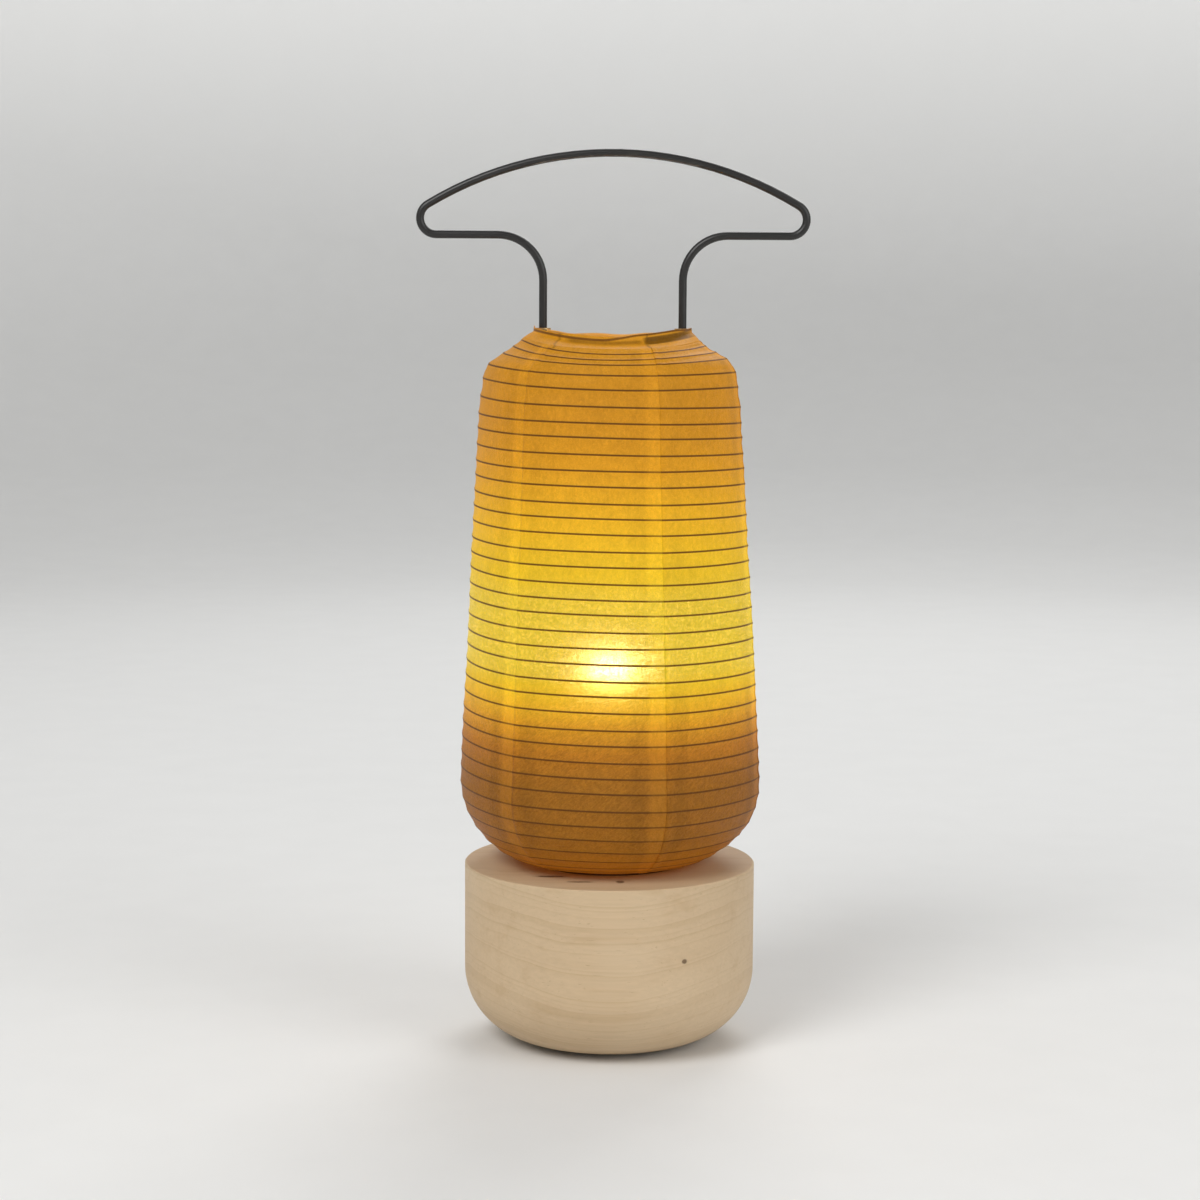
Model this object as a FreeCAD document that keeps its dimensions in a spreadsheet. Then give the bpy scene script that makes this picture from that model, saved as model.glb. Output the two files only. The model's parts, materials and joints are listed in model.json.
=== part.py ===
import FreeCAD, Part
import math
import os
import Sketcher

# Small portable andon: a turned wooden base with an upright light inside it, a folding
# shade of washi on one wound bamboo strip, and a handle bent from one steel wire.
# Frame: +Z is up, the origin is on the floor at the lamp's axis, -Y is the front and
# +X is the lamp's right as it is seen from the front. All lengths are in millimetres.

SIZES = {
    # wooden base
    "base_radius": 55.0,
    "base_edge_break": 0.5,
    "base_roof": 6.0,
    "cavity_gap": 1.4,
    "ledge_width": 5.0,
    "foot_ring": 3.0,
    "felt_thickness": 1.0,
    "felt_inset": 0.3,
    "felt_edge_gap": 0.2,
    # wire handle
    "wire_radius": 1.5,
    "leg_offset": 26.0,
    "leg_insertion": 27.0,
    "shoulder_bend": 16.8,
    "leg_show": 35.1,
    "bow_rise": 30.3,
    "tip_bend": 6.0,
    "tip_reach": 65.8,
    "wire_end_break": 0.4,
    # sleeves that the handle's legs stand in
    "sleeve_wall": 1.05,
    "sleeve_floor": 1.0,
    "sleeve_running_gap": 0.05,
    "fit_gap": 0.02,
    # paper shade, heights above the top of the base
    "paper_thickness": 0.3,
    "belly_radius": 56.2,
    "belly_round": 30.0,
    "belly_lift": 0.7,
    "corner_radius": 47.8,
    "corner_drop": 14.1,
    "corner_round": 11.0,
    "rim_height": 201.0,
    "binding_width": 8.0,
    "panel_edge_gap": 0.12,
    # wound bamboo strip
    "rib_radius": 0.4,
    "rib_gap": 0.25,
    "rib_foot_inset": 2.6,
    "rib_top_inset": 1.8,
    # hoops at the foot and the rim of the shade
    "foot_hoop_wire": 0.6,
    "hoop_leg_gap": 0.3,
    "hoop_seat_gap": 0.02,
    "rim_hoop_wire": 0.65,
    "rim_leg_gap": 0.45,
    "rim_hoop_drop": 0.6,
    "rim_hoop_saddle": 1.75,
    "eyelet_wall": 1.25,
    "eyelet_thickness": 0.6,
    "eyelet_leg_gap": 0.25,
    "eyelet_seat_gap": 0.05,
    # paper binding round the rim
    "binding_gap": 0.05,
    "binding_lip": 1.7,
    "binding_drop": 0.6,
    "binding_panel_gap": 0.35,
    # light post
    "post_thread_radius": 4.9,
    "post_thread_gap": 0.1,
    "post_bore": 3.2,
    "post_flange_radius": 11.0,
    "post_flange_height": 2.0,
    "post_cone_height": 4.0,
    "post_radius": 5.0,
    "post_cup_edge": 0.4,
    "post_cup_height": 2.5,
    "post_height": 66.5,
    "post_spare_thread": 0.8,
    "washer_radius": 8.5,
    "washer_thickness": 0.8,
    "nut_radius": 7.5,
    "nut_height": 2.8,
    # light source
    "led_board_thickness": 1.2,
    "led_board_gap": 0.6,
    "emitter_radius": 2.6,
    "emitter_height": 2.4,
    "diffuser_radius": 7.6,
    "diffuser_wall": 1.0,
    "diffuser_height": 13.0,
    "diffuser_round": 6.0,
    "lead_radius": 0.5,
    "lead_spacing": 2.6,
    # bottom plate with its battery tube
    "plate_inset": 0.4,
    "plate_thickness": 2.4,
    "plate_edge_gap": 0.2,
    "tube_offset": 5.5,
    "tube_gap": 0.5,
    "tube_wall": 1.2,
    "hatch_step": 0.5,
    "plate_screw_radius": 0.9,
    "plate_screw_head": 1.8,
    "plate_screw_length": 8.0,
    "plate_screw_gap": 0.1,
    "boss_radius": 2.4,
    "boss_bite": 0.5,
    "boss_height": 10.0,
    # driver board
    "board_thickness": 1.2,
    "board_edge_gap": 1.4,
    "board_post_gap": 0.4,
    "board_screw_radius": 0.9,
    "board_screw_head": 1.8,
    "board_screw_head_height": 1.2,
    "board_screw_length": 6.0,
    "chip_length": 5.0,
    "chip_width": 4.0,
    "chip_height": 1.2,
    "chip_offset": 9.5,
    "coil_radius": 2.4,
    "coil_height": 2.2,
    "pin_radius": 1.4,
    "pin_height": 1.3,
    "pin_offset": 7.0,
    # battery capsule, drawn out downwards as one piece
    "cap_gap": 0.3,
    "cap_thickness": 2.0,
    "plug_gap": 0.3,
    "plug_height": 4.0,
    "cap_slot_width": 1.8,
    "cap_slot_depth": 1.0,
    "cap_slot_length": 15.0,
    "seal_wire": 0.65,
    "seal_running_gap": 0.05,
    "seal_groove_gap": 0.05,
    "carrier_disc": 1.0,
    "carrier_post_radius": 1.3,
    "carrier_post_inset": 0.1,
    "cell_radius": 5.25,
    "cell_length": 43.5,
    "cell_nub_radius": 1.9,
    "cell_nub_height": 1.0,
    "cell_gap": 0.15,
    "contact_radius": 3.4,
    "contact_thickness": 0.4,
    # slide switch
    "switch_tube_gap": 4.9,
    "switch_length": 8.8,
    "switch_width": 4.2,
    "switch_height": 3.6,
    "switch_wall": 0.6,
    "slider_length": 3.6,
    "slider_thickness": 1.1,
    "slider_gap": 0.15,
    "knob_length": 2.0,
    "knob_width": 1.6,
    "knob_drop": 0.9,
    "knob_travel": 3.5,
    "switch_lead_spacing": 5.0,
}

RIB_TURNS = 38
RIB_SIDES = 6
ARCS_PER_TURN = 2
SPOTS_PER_TURN = 24
PANEL_COUNT = 6
FIRST_SEAM_DEGREES = -126.5
PLATE_SCREW_COUNT = 3
CELL_COUNT = 3
HOOP_STEPS = 12
BINDING_STEPS = 48
RIB_START_DEGREES = 180.0
FULL_TURN = 360.0

doc = FreeCAD.newDocument("andon_lamp")
sheet = doc.addObject("Spreadsheet::Sheet", "Sizes")


class Size:
    """A length as a number and as the formula that gives it from the sheet."""

    def __init__(self, value, text):
        self.value = value
        self.text = text

    def __add__(self, other):
        other = as_size(other)
        return Size(self.value + other.value, "(" + self.text + " + " + other.text + ")")

    def __radd__(self, other):
        return as_size(other) + self

    def __sub__(self, other):
        other = as_size(other)
        return Size(self.value - other.value, "(" + self.text + " - " + other.text + ")")

    def __rsub__(self, other):
        return as_size(other) - self

    def __mul__(self, other):
        other = as_size(other)
        return Size(self.value * other.value, "(" + self.text + " * " + other.text + ")")

    def __rmul__(self, other):
        return self * other

    def __truediv__(self, other):
        other = as_size(other)
        return Size(self.value / other.value, "(" + self.text + " / " + other.text + ")")

    def __neg__(self):
        return Size(-self.value, "(-1 * " + self.text + ")")


def as_size(number):
    if isinstance(number, Size):
        return number
    return Size(float(number), repr(float(number)))


class Named:
    """The sheet's sizes as attributes."""


size = Named()
for row, (alias, length) in enumerate(SIZES.items(), start=1):
    sheet.set("A%d" % row, alias)
    sheet.set("B%d" % row, str(length))
    sheet.setAlias("B%d" % row, alias)
    setattr(size, alias, Size(length, "Sizes." + alias))
doc.recompute()

ZERO = as_size(0)
kept = []


def bind(thing, **sizes):
    """Tie an object's properties to formulas on the sheet."""
    for name, length in sizes.items():
        thing.setExpression(name, as_size(length).text)
    return thing


def put(thing, x=ZERO, y=ZERO, z=ZERO):
    """Tie an object's place to formulas on the sheet."""
    thing.setExpression("Placement.Base.x", as_size(x).text)
    thing.setExpression("Placement.Base.y", as_size(y).text)
    thing.setExpression("Placement.Base.z", as_size(z).text)
    return thing


def cylinder(name, radius, height, x=ZERO, y=ZERO, z=ZERO):
    thing = doc.addObject("Part::Cylinder", name)
    bind(thing, Radius=radius, Height=height)
    return put(thing, x, y, z)


def cone(name, low_radius, high_radius, height, x=ZERO, y=ZERO, z=ZERO):
    thing = doc.addObject("Part::Cone", name)
    bind(thing, Radius1=low_radius, Radius2=high_radius, Height=height)
    return put(thing, x, y, z)


def torus(name, ring_radius, wire, z):
    thing = doc.addObject("Part::Torus", name)
    bind(thing, Radius1=ring_radius, Radius2=wire)
    return put(thing, ZERO, ZERO, z)


def block(name, length, width, height, x=ZERO, y=ZERO, z=ZERO):
    """A box that is centred on x and y and stands on z."""
    thing = doc.addObject("Part::Box", name)
    bind(thing, Length=length, Width=width, Height=height)
    return put(thing, x - length / 2, y - width / 2, z)


def fuse(name, *things):
    thing = doc.addObject("Part::MultiFuse", name)
    thing.Shapes = list(things)
    return thing


def gather(name, *things):
    """Separate solids that share one node."""
    thing = doc.addObject("Part::Compound", name)
    thing.Links = list(things)
    return thing


def cut(name, base, tool):
    thing = doc.addObject("Part::Cut", name)
    thing.Base = base
    thing.Tool = tool
    return thing


def keep(thing, node):
    """Name a finished sub-part, whose label names its file."""
    thing.Label = node
    kept.append(thing)
    return thing


def origin_plane(body, role):
    for feature in body.Origin.OriginFeatures:
        if feature.Role == role:
            return feature
    raise ValueError("no plane " + role)


def outline_sketch(body, name, corners):
    """A closed outline of (radius, height) corners on the XZ plane, every corner tied to sizes."""
    sketch = body.newObject("Sketcher::SketchObject", name)
    sketch.AttachmentSupport = [(origin_plane(body, "XZ_Plane"), "")]
    sketch.MapMode = "FlatFace"
    points = [FreeCAD.Vector(as_size(r).value, as_size(z).value, 0) for r, z in corners]
    count = len(points)
    for i in range(count):
        sketch.addGeometry(Part.LineSegment(points[i], points[(i + 1) % count]), False)
    for i in range(count):
        sketch.addConstraint(Sketcher.Constraint("Coincident", i, 2, (i + 1) % count, 1))
    for i, corner in enumerate(corners):
        for kind, axis, length in (("DistanceX", -2, corner[0]), ("DistanceY", -1, corner[1])):
            length = as_size(length)
            if length.value == 0:
                sketch.addConstraint(Sketcher.Constraint("PointOnObject", i, 1, axis))
                continue
            place = sketch.addConstraint(Sketcher.Constraint(kind, -1, 1, i, 1, length.value))
            sketch.setExpression("Constraints[%d]" % place, length.text)
    return sketch


def turned(name, corners):
    """A turned piece: an outline spun about the vertical axis."""
    body = doc.addObject("PartDesign::Body", name)
    sketch = outline_sketch(body, name + "_outline", corners)
    spin = body.newObject("PartDesign::Revolution", name + "_spin")
    spin.Profile = sketch
    spin.ReferenceAxis = (sketch, ["V_Axis"])
    spin.Angle = FULL_TURN
    body.Tip = spin
    doc.recompute()
    return body


def round_edge(body, name, radius, height, rounding):
    """Round the circular edge of a turned piece that has this radius and height."""
    near = size.fit_gap.value
    base = body.Tip
    found = []
    for number, edge in enumerate(base.Shape.Edges, start=1):
        curve = edge.Curve
        if not isinstance(curve, Part.Circle):
            continue
        same_radius = abs(curve.Radius - as_size(radius).value) < near
        if same_radius and abs(curve.Center.z - as_size(height).value) < near:
            found.append("Edge%d" % number)
    fillet = body.newObject("PartDesign::Fillet", name)
    fillet.Base = (base, found)
    bind(fillet, Radius=rounding)
    body.Tip = fillet
    doc.recompute()
    return body


def polar(circle, degrees):
    """X and Y formulas of a place on a circle."""
    angle = math.radians(degrees)
    return circle * math.cos(angle), circle * math.sin(angle)


def solid_feature(node, shape):
    """A sub-part whose shape follows a worked-out line."""
    thing = doc.addObject("Part::Feature", node)
    thing.Shape = shape
    thing.Placement = FreeCAD.Placement()
    return keep(thing, node)


def biarc(start, start_way, end, end_way):
    """Two arcs that leave start along start_way and reach end along end_way."""
    span = end - start
    ways = start_way + end_way
    along = span.dot(ways)
    bend = 2 * (1 - start_way.dot(end_way))
    reach = (math.sqrt(along * along + bend * span.dot(span)) - along) / bend
    first_knee = start + start_way * reach
    last_knee = end - end_way * reach
    middle = (first_knee + last_knee) * 0.5
    return [arc_by_knee(start, first_knee, middle), arc_by_knee(middle, last_knee, end)]


def arc_by_knee(start, knee, end):
    """The arc that touches start-knee and knee-end."""
    chord_middle = (start + end) * 0.5
    half_chord = (end - start).Length / 2
    rise = knee - chord_middle
    half_turn = math.atan2(rise.Length, half_chord)
    crown = chord_middle + rise.normalize() * (half_chord * math.tan(half_turn / 2))
    return Part.Arc(start, crown, end).toShape()


def tube_along(edges, start, way, radius, sides=None):
    """A tube along tangent edges, round or with flat sides."""
    path = Part.Wire(edges)
    ring = Part.makeCircle(radius, start, way)
    if sides is None:
        section = Part.Wire([ring])
    else:
        corners = [ring.Curve.value(math.tau * side / sides) for side in range(sides)]
        section = Part.makePolygon(corners + corners[:1])
    tube = path.makePipeShell([section], True, False)
    exact = Part.Face(section).Area * path.Length
    print("tube volume over section times length", round(tube.Volume / exact, 4))
    return tube


# Battery stack, which sets how tall and how wide the inside of the base is
cell_circle = (size.cell_radius * 2 + size.cell_gap) / math.sqrt(3)
carrier_radius = cell_circle + size.cell_radius
carrier_post_circle = carrier_radius - size.carrier_post_radius - size.carrier_post_inset
tube_bore = carrier_radius + size.tube_gap
tube_radius = tube_bore + size.tube_wall
hatch_radius = tube_bore + size.hatch_step
plug_radius = tube_bore - size.plug_gap
seal_ring_radius = tube_bore - size.seal_running_gap - size.seal_wire
plate_bottom = size.felt_thickness + size.plate_inset
plate_top = plate_bottom + size.plate_thickness
plug_low = plate_bottom + size.cap_thickness
plug_high = plug_low + size.plug_height
seal_level = plug_low + size.plug_height / 2
contact_low = plug_high + size.carrier_disc
cell_low = contact_low + size.contact_thickness
cell_high = cell_low + size.cell_length + size.cell_nub_height
carrier_high = cell_high + size.contact_thickness + size.carrier_disc

# Driver board above the cells, the light post's tail above the board, then the roof
board_low = carrier_high + size.pin_height
board_top = board_low + size.board_thickness
post_low = board_top + size.board_post_gap
roof_level = post_low + size.post_spare_thread + size.nut_height + size.washer_thickness
base_top = roof_level + size.base_roof
post_high = base_top + size.post_height

# Widths inside the base
cavity_radius = size.tube_offset + tube_radius + size.cavity_gap
recess_radius = cavity_radius + size.ledge_width
plate_screw_circle = (cavity_radius + recess_radius) / 2
board_radius = cavity_radius - size.board_edge_gap
boss_offset = tube_radius + size.boss_radius - size.boss_bite
switch_offset = tube_radius - size.tube_offset + size.switch_tube_gap + size.switch_width / 2
flat_radius = recess_radius + size.foot_ring
base_round = size.base_radius - flat_radius

# Handle legs and their sleeves
sleeve_radius = size.wire_radius + size.sleeve_running_gap + size.sleeve_wall
leg_end = base_top - size.leg_insertion
run_height = size.rim_height + size.leg_show
bow_height = run_height + size.bow_rise

# Shade
rim_hoop_radius = size.leg_offset + size.wire_radius + size.rim_leg_gap + size.rim_hoop_wire
rim_hoop_height = size.rim_height - size.rim_hoop_saddle - size.rim_hoop_drop
binding_radius = rim_hoop_radius + size.rim_hoop_wire + size.binding_gap
rim_radius = binding_radius + size.paper_thickness
panel_top_radius = rim_radius + size.binding_width
corner_height = size.rim_height - size.corner_drop
foot_hoop_radius = (size.leg_offset + size.wire_radius + size.hoop_leg_gap
                    + size.foot_hoop_wire)
rib_start_radius = foot_hoop_radius + size.foot_hoop_wire + size.rib_foot_inset
rib_end_radius = panel_top_radius + size.rib_top_inset


def make_base():
    """Turned wooden block, hollowed from below, with two sockets for the leg sleeves."""
    wood = turned("base_wood", [
        (size.post_thread_radius + size.post_thread_gap, base_top),
        (size.base_radius - size.base_edge_break, base_top),
        (size.base_radius, base_top - size.base_edge_break),
        (size.base_radius, size.felt_thickness),
        (recess_radius, size.felt_thickness),
        (recess_radius, plate_top),
        (cavity_radius, plate_top),
        (cavity_radius, roof_level),
        (size.post_thread_radius + size.post_thread_gap, roof_level),
    ])
    round_edge(wood, "base_foot_round", size.base_radius, size.felt_thickness, base_round)
    depth = size.leg_insertion + size.sleeve_floor
    sockets = [
        cylinder("socket_" + side, sleeve_radius + size.fit_gap, depth, sign * size.leg_offset,
                 ZERO, base_top - depth)
        for side, sign in (("left", -1), ("right", 1))
    ]
    pilots = []
    for number in range(PLATE_SCREW_COUNT):
        x, y = polar(plate_screw_circle, plate_screw_degrees(number))
        pilots.append(cylinder("pilot_%d" % (number + 1), size.plate_screw_radius + size.fit_gap,
                               size.plate_screw_length, x, y, plate_top))
    drilled = cut("base_drilled", wood, fuse("base_drillings", *sockets, *pilots))
    keep(drilled, "base_body")
    felt = turned("foot_felt_ring", [
        (recess_radius + size.felt_edge_gap, ZERO),
        (flat_radius - size.felt_inset, ZERO),
        (flat_radius - size.felt_inset, size.felt_thickness),
        (recess_radius + size.felt_edge_gap, size.felt_thickness),
    ])
    keep(felt, "foot_felt")


def plate_screw_degrees(number):
    return FULL_TURN / PLATE_SCREW_COUNT * number - 90


def make_bottom_plate():
    """Moulded plate that closes the base, with the battery tube standing on it."""
    disc = cylinder("plate_disc", recess_radius - size.plate_edge_gap, size.plate_thickness,
                    ZERO, ZERO, plate_bottom)
    centre = -size.tube_offset
    tube = cylinder("battery_tube_wall", tube_radius, board_low - plate_top, ZERO, centre,
                    plate_top)
    bosses = [
        cylinder("board_boss_" + side, size.boss_radius, size.boss_height,
                 sign * boss_offset, centre, board_low - size.boss_height)
        for side, sign in (("left", -1), ("right", 1))
    ]
    moulding = fuse("plate_moulding", disc, tube, *bosses)
    bore = cylinder("battery_bore", tube_bore, board_low - plate_bottom, ZERO, centre,
                    plate_bottom)
    hatch = cylinder("battery_hatch", hatch_radius, size.cap_thickness, ZERO, centre,
                     plate_bottom)
    slot = block("switch_slot",
                 size.knob_length + size.knob_travel + size.slider_gap * 2,
                 size.knob_width + size.slider_gap * 2, size.plate_thickness, ZERO,
                 switch_offset, plate_bottom)
    holes = [
        cylinder("board_screw_hole_" + side, size.board_screw_radius + size.fit_gap,
                 size.board_screw_length, sign * boss_offset, centre,
                 board_low - size.board_screw_length)
        for side, sign in (("left", -1), ("right", 1))
    ]
    for number in range(PLATE_SCREW_COUNT):
        x, y = polar(plate_screw_circle, plate_screw_degrees(number))
        clear = size.plate_screw_radius + size.plate_screw_gap
        holes.append(cylinder("plate_hole_%d" % (number + 1), clear, size.plate_thickness, x, y,
                              plate_bottom))
        holes.append(cone("plate_sink_%d" % (number + 1),
                          size.plate_screw_head + size.plate_screw_gap, clear,
                          size.plate_screw_head - size.plate_screw_radius, x, y, plate_bottom))
    openings = fuse("plate_openings", bore, hatch, slot, *holes)
    keep(cut("plate_cut", moulding, openings), "bottom_plate")
    screws = []
    for number in range(PLATE_SCREW_COUNT):
        x, y = polar(plate_screw_circle, plate_screw_degrees(number))
        head = size.plate_screw_head - size.plate_screw_radius
        shank = cylinder("plate_shank_%d" % (number + 1), size.plate_screw_radius,
                         size.plate_screw_length, x, y, plate_bottom)
        sunk = cone("plate_head_%d" % (number + 1), size.plate_screw_head,
                    size.plate_screw_radius, head, x, y, plate_bottom)
        slot = block("plate_drive_%d" % (number + 1), size.plate_screw_head * 3 / 2,
                     size.plate_screw_head / 4, head / 2, x, y, plate_bottom)
        body = fuse("plate_screw_%d" % (number + 1), shank, sunk)
        screws.append(cut("plate_screw_cut_%d" % (number + 1), body, slot))
    keep(gather("plate_screw_set", *screws), "plate_screws")


def make_driver_board():
    """Round driver board on the tube's end, with its parts, screws and battery pins."""
    centre = -size.tube_offset
    disc = cylinder("board_disc", board_radius, size.board_thickness, ZERO, ZERO, board_low)
    holes = []
    screws = []
    for side, sign in (("left", -1), ("right", 1)):
        x = sign * boss_offset
        holes.append(cylinder("board_hole_" + side, size.board_screw_radius + size.fit_gap,
                              size.board_thickness, x, centre, board_low))
        shank = cylinder("board_shank_" + side, size.board_screw_radius,
                         size.board_screw_length + size.board_thickness, x, centre,
                         board_low - size.board_screw_length)
        head = cylinder("board_head_" + side, size.board_screw_head,
                        size.board_screw_head_height, x, centre, board_top)
        screws.append(fuse("board_screw_" + side, shank, head))
    keep(cut("board_cut", disc, fuse("board_holes", *holes)), "driver_board")
    keep(gather("board_screw_set", *screws), "board_screws")
    chip = block("driver_chip_block", size.chip_length, size.chip_width, size.chip_height,
                 -size.chip_offset, size.chip_offset, board_top)
    keep(chip, "driver_chip")
    coil = cylinder("driver_coil_drum", size.coil_radius, size.coil_height, size.chip_offset,
                    size.chip_offset, board_top)
    keep(coil, "driver_coil")
    pins = [
        cylinder("battery_pin_%d" % (number + 1), size.pin_radius, size.pin_height, ZERO,
                 centre + size.pin_offset * number, board_low - size.pin_height)
        for number in range(2)
    ]
    keep(gather("battery_pin_set", *pins), "battery_pins")


def make_battery_capsule():
    """Cap, seal, carrier and cells, which slide down out of the tube together."""
    centre = -size.tube_offset
    cap = turned("battery_cap_turning", [
        (ZERO, plate_bottom),
        (hatch_radius - size.cap_gap, plate_bottom),
        (hatch_radius - size.cap_gap, plate_bottom + size.cap_thickness - size.fit_gap),
        (plug_radius, plate_bottom + size.cap_thickness - size.fit_gap),
        (plug_radius, plug_high),
        (ZERO, plug_high),
    ])
    put(cap, ZERO, centre, ZERO)
    groove = cut("battery_cap_groove",
                 cylinder("groove_outside", plug_radius + size.seal_wire,
                          2 * (size.seal_wire + size.seal_groove_gap), ZERO, centre,
                          seal_level - size.seal_wire - size.seal_groove_gap),
                 cylinder("groove_floor",
                          seal_ring_radius - size.seal_wire - size.seal_groove_gap,
                          2 * (size.seal_wire + size.seal_groove_gap), ZERO, centre,
                          seal_level - size.seal_wire - size.seal_groove_gap))
    slot = block("cap_slot", size.cap_slot_length, size.cap_slot_width, size.cap_slot_depth, ZERO,
                 centre, plate_bottom)
    keep(cut("battery_cap_cut", cap, fuse("cap_cuts", groove, slot)), "battery_cap")
    seal = torus("cap_seal_ring", seal_ring_radius, size.seal_wire, seal_level)
    put(seal, ZERO, centre, seal_level)
    keep(seal, "cap_seal")

    floor = cylinder("carrier_floor", carrier_radius, size.carrier_disc, ZERO, centre,
                     plug_high)
    ceiling = cylinder("carrier_ceiling", carrier_radius, size.carrier_disc, ZERO, centre,
                       carrier_high - size.carrier_disc)
    posts = []
    for number in range(CELL_COUNT):
        x, y = polar(carrier_post_circle, cell_degrees(number) + 180)
        posts.append(cylinder("carrier_post_%d" % (number + 1), size.carrier_post_radius,
                              carrier_high - plug_high, x, centre + y, plug_high))
    keep(fuse("carrier_frame", floor, ceiling, *posts), "cell_carrier")

    lower = []
    upper = []
    for number in range(CELL_COUNT):
        x, y = polar(cell_circle, cell_degrees(number))
        lower.append(cylinder("lower_contact_%d" % (number + 1), size.contact_radius,
                              size.contact_thickness, x, centre + y, contact_low))
        upper.append(cylinder("upper_contact_%d" % (number + 1), size.contact_radius,
                              size.contact_thickness, x, centre + y, cell_high))
        upright = number != 1
        can_low = cell_low if upright else cell_low + size.cell_nub_height
        nub_low = cell_low + size.cell_length if upright else cell_low
        can = cylinder("cell_can_%d" % (number + 1), size.cell_radius, size.cell_length, x,
                       centre + y, can_low)
        nub = cylinder("cell_nub_%d" % (number + 1), size.cell_nub_radius,
                       size.cell_nub_height, x, centre + y, nub_low)
        node = "battery_cell_%d" % (number + 1)
        keep(fuse(node + "_whole", can, nub), node)
    keep(gather("lower_contact_set", *lower), "lower_contacts")
    keep(gather("upper_contact_set", *upper), "upper_contacts")


def cell_degrees(number):
    return FULL_TURN / CELL_COUNT * number + 90


def make_switch():
    """Slide switch behind the plate, with its knob in the plate's slot."""
    case = block("switch_case", size.switch_length, size.switch_width, size.switch_height, ZERO,
                 switch_offset, plate_top)
    hollow = block("switch_hollow", size.switch_length - size.switch_wall * 2,
                   size.switch_width - size.switch_wall * 2,
                   size.slider_thickness + size.slider_gap * 2, ZERO, switch_offset,
                   plate_top)
    keep(cut("switch_case_cut", case, hollow), "switch_body")
    middle = size.knob_travel / 2
    slider = block("switch_slider", size.slider_length,
                   size.switch_width - size.switch_wall * 2 - size.slider_gap * 2,
                   size.slider_thickness, middle, switch_offset, plate_top + size.slider_gap)
    knob = block("switch_thumb", size.knob_length, size.knob_width,
                 size.plate_thickness + size.knob_drop + size.slider_gap, middle,
                 switch_offset, plate_bottom - size.knob_drop)
    ridge = block("switch_ridge", size.knob_length / 4, size.knob_width, size.knob_drop / 2,
                  middle, switch_offset, plate_bottom - size.knob_drop)
    keep(cut("switch_knob_cut", fuse("switch_knob_whole", slider, knob), ridge), "switch_knob")
    rise = board_low - plate_top - size.switch_height
    leads = [
        cylinder("switch_lead_" + side, size.lead_radius, rise,
                 sign * size.switch_lead_spacing / 2, switch_offset,
                 plate_top + size.switch_height)
        for side, sign in (("left", -1), ("right", 1))
    ]
    keep(gather("switch_lead_set", *leads), "switch_leads")


def make_light_post():
    """Hollow post through the roof of the base, with its nut, the light source and its cap."""
    cone_top = base_top + size.post_flange_height + size.post_cone_height
    post = turned("light_post_turning", [
        (size.post_bore, post_low),
        (size.post_thread_radius, post_low),
        (size.post_thread_radius, base_top),
        (size.post_flange_radius, base_top),
        (size.post_flange_radius, base_top + size.post_flange_height),
        (size.post_radius, cone_top),
        (size.post_radius, post_high - size.post_cup_height * 2),
        (size.diffuser_radius + size.post_cup_edge, post_high - size.post_cup_height),
        (size.diffuser_radius + size.post_cup_edge, post_high),
        (size.post_bore, post_high),
    ])
    keep(post, "light_post")
    washer_low = roof_level - size.washer_thickness
    thread_hole = size.post_thread_radius + size.fit_gap
    washer = turned("post_washer_turning", [
        (thread_hole, washer_low),
        (size.washer_radius, washer_low),
        (size.washer_radius, roof_level),
        (thread_hole, roof_level),
    ])
    keep(washer, "post_washer")
    nut_low = washer_low - size.nut_height
    hexagon = doc.addObject("Part::Prism", "post_nut_hexagon")
    hexagon.Polygon = 6
    bind(hexagon, Circumradius=size.nut_radius, Height=size.nut_height)
    put(hexagon, ZERO, ZERO, nut_low)
    nut_hole = cylinder("post_nut_hole", thread_hole, size.nut_height, ZERO, ZERO, nut_low)
    keep(cut("post_nut_cut", hexagon, nut_hole), "post_nut")

    inner = size.diffuser_radius - size.diffuser_wall
    led_board = cylinder("led_board_disc", inner - size.led_board_gap, size.led_board_thickness,
                         ZERO, ZERO, post_high)
    keep(led_board, "led_board")
    emitter_low = post_high + size.led_board_thickness
    emitter = turned("led_emitter_turning", [
        (ZERO, emitter_low),
        (size.emitter_radius, emitter_low),
        (size.emitter_radius, emitter_low + size.emitter_height / 2),
        (size.emitter_radius / 2, emitter_low + size.emitter_height),
        (ZERO, emitter_low + size.emitter_height),
    ])
    keep(emitter, "led_emitter")
    crown = post_high + size.diffuser_height
    diffuser = turned("diffuser_turning", [
        (inner, post_high),
        (size.diffuser_radius, post_high),
        (size.diffuser_radius, crown),
        (ZERO, crown),
        (ZERO, crown - size.diffuser_wall),
        (inner, crown - size.diffuser_wall),
    ])
    round_edge(diffuser, "diffuser_crown", size.diffuser_radius, crown, size.diffuser_round)
    round_edge(diffuser, "diffuser_crown_inside", inner, crown - size.diffuser_wall,
               size.diffuser_round - size.diffuser_wall)
    keep(diffuser, "diffuser")
    leads = [
        cylinder("led_lead_" + side, size.lead_radius, post_high - board_top,
                 sign * size.lead_spacing / 2, ZERO, board_top)
        for side, sign in (("left", -1), ("right", 1))
    ]
    keep(gather("led_lead_set", *leads), "led_leads")


def make_sleeves():
    """Metal sleeves in the base that hold the handle's legs."""
    depth = size.leg_insertion + size.sleeve_floor
    for side, sign in (("left", -1), ("right", 1)):
        x = sign * size.leg_offset
        wall = cylinder("sleeve_wall_" + side, sleeve_radius, depth, x, ZERO, base_top - depth)
        bore = cylinder("sleeve_bore_" + side, size.wire_radius + size.sleeve_running_gap,
                        size.leg_insertion, x, ZERO, leg_end)
        keep(cut("sleeve_cut_" + side, wall, bore), "leg_sleeve_" + side)


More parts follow.
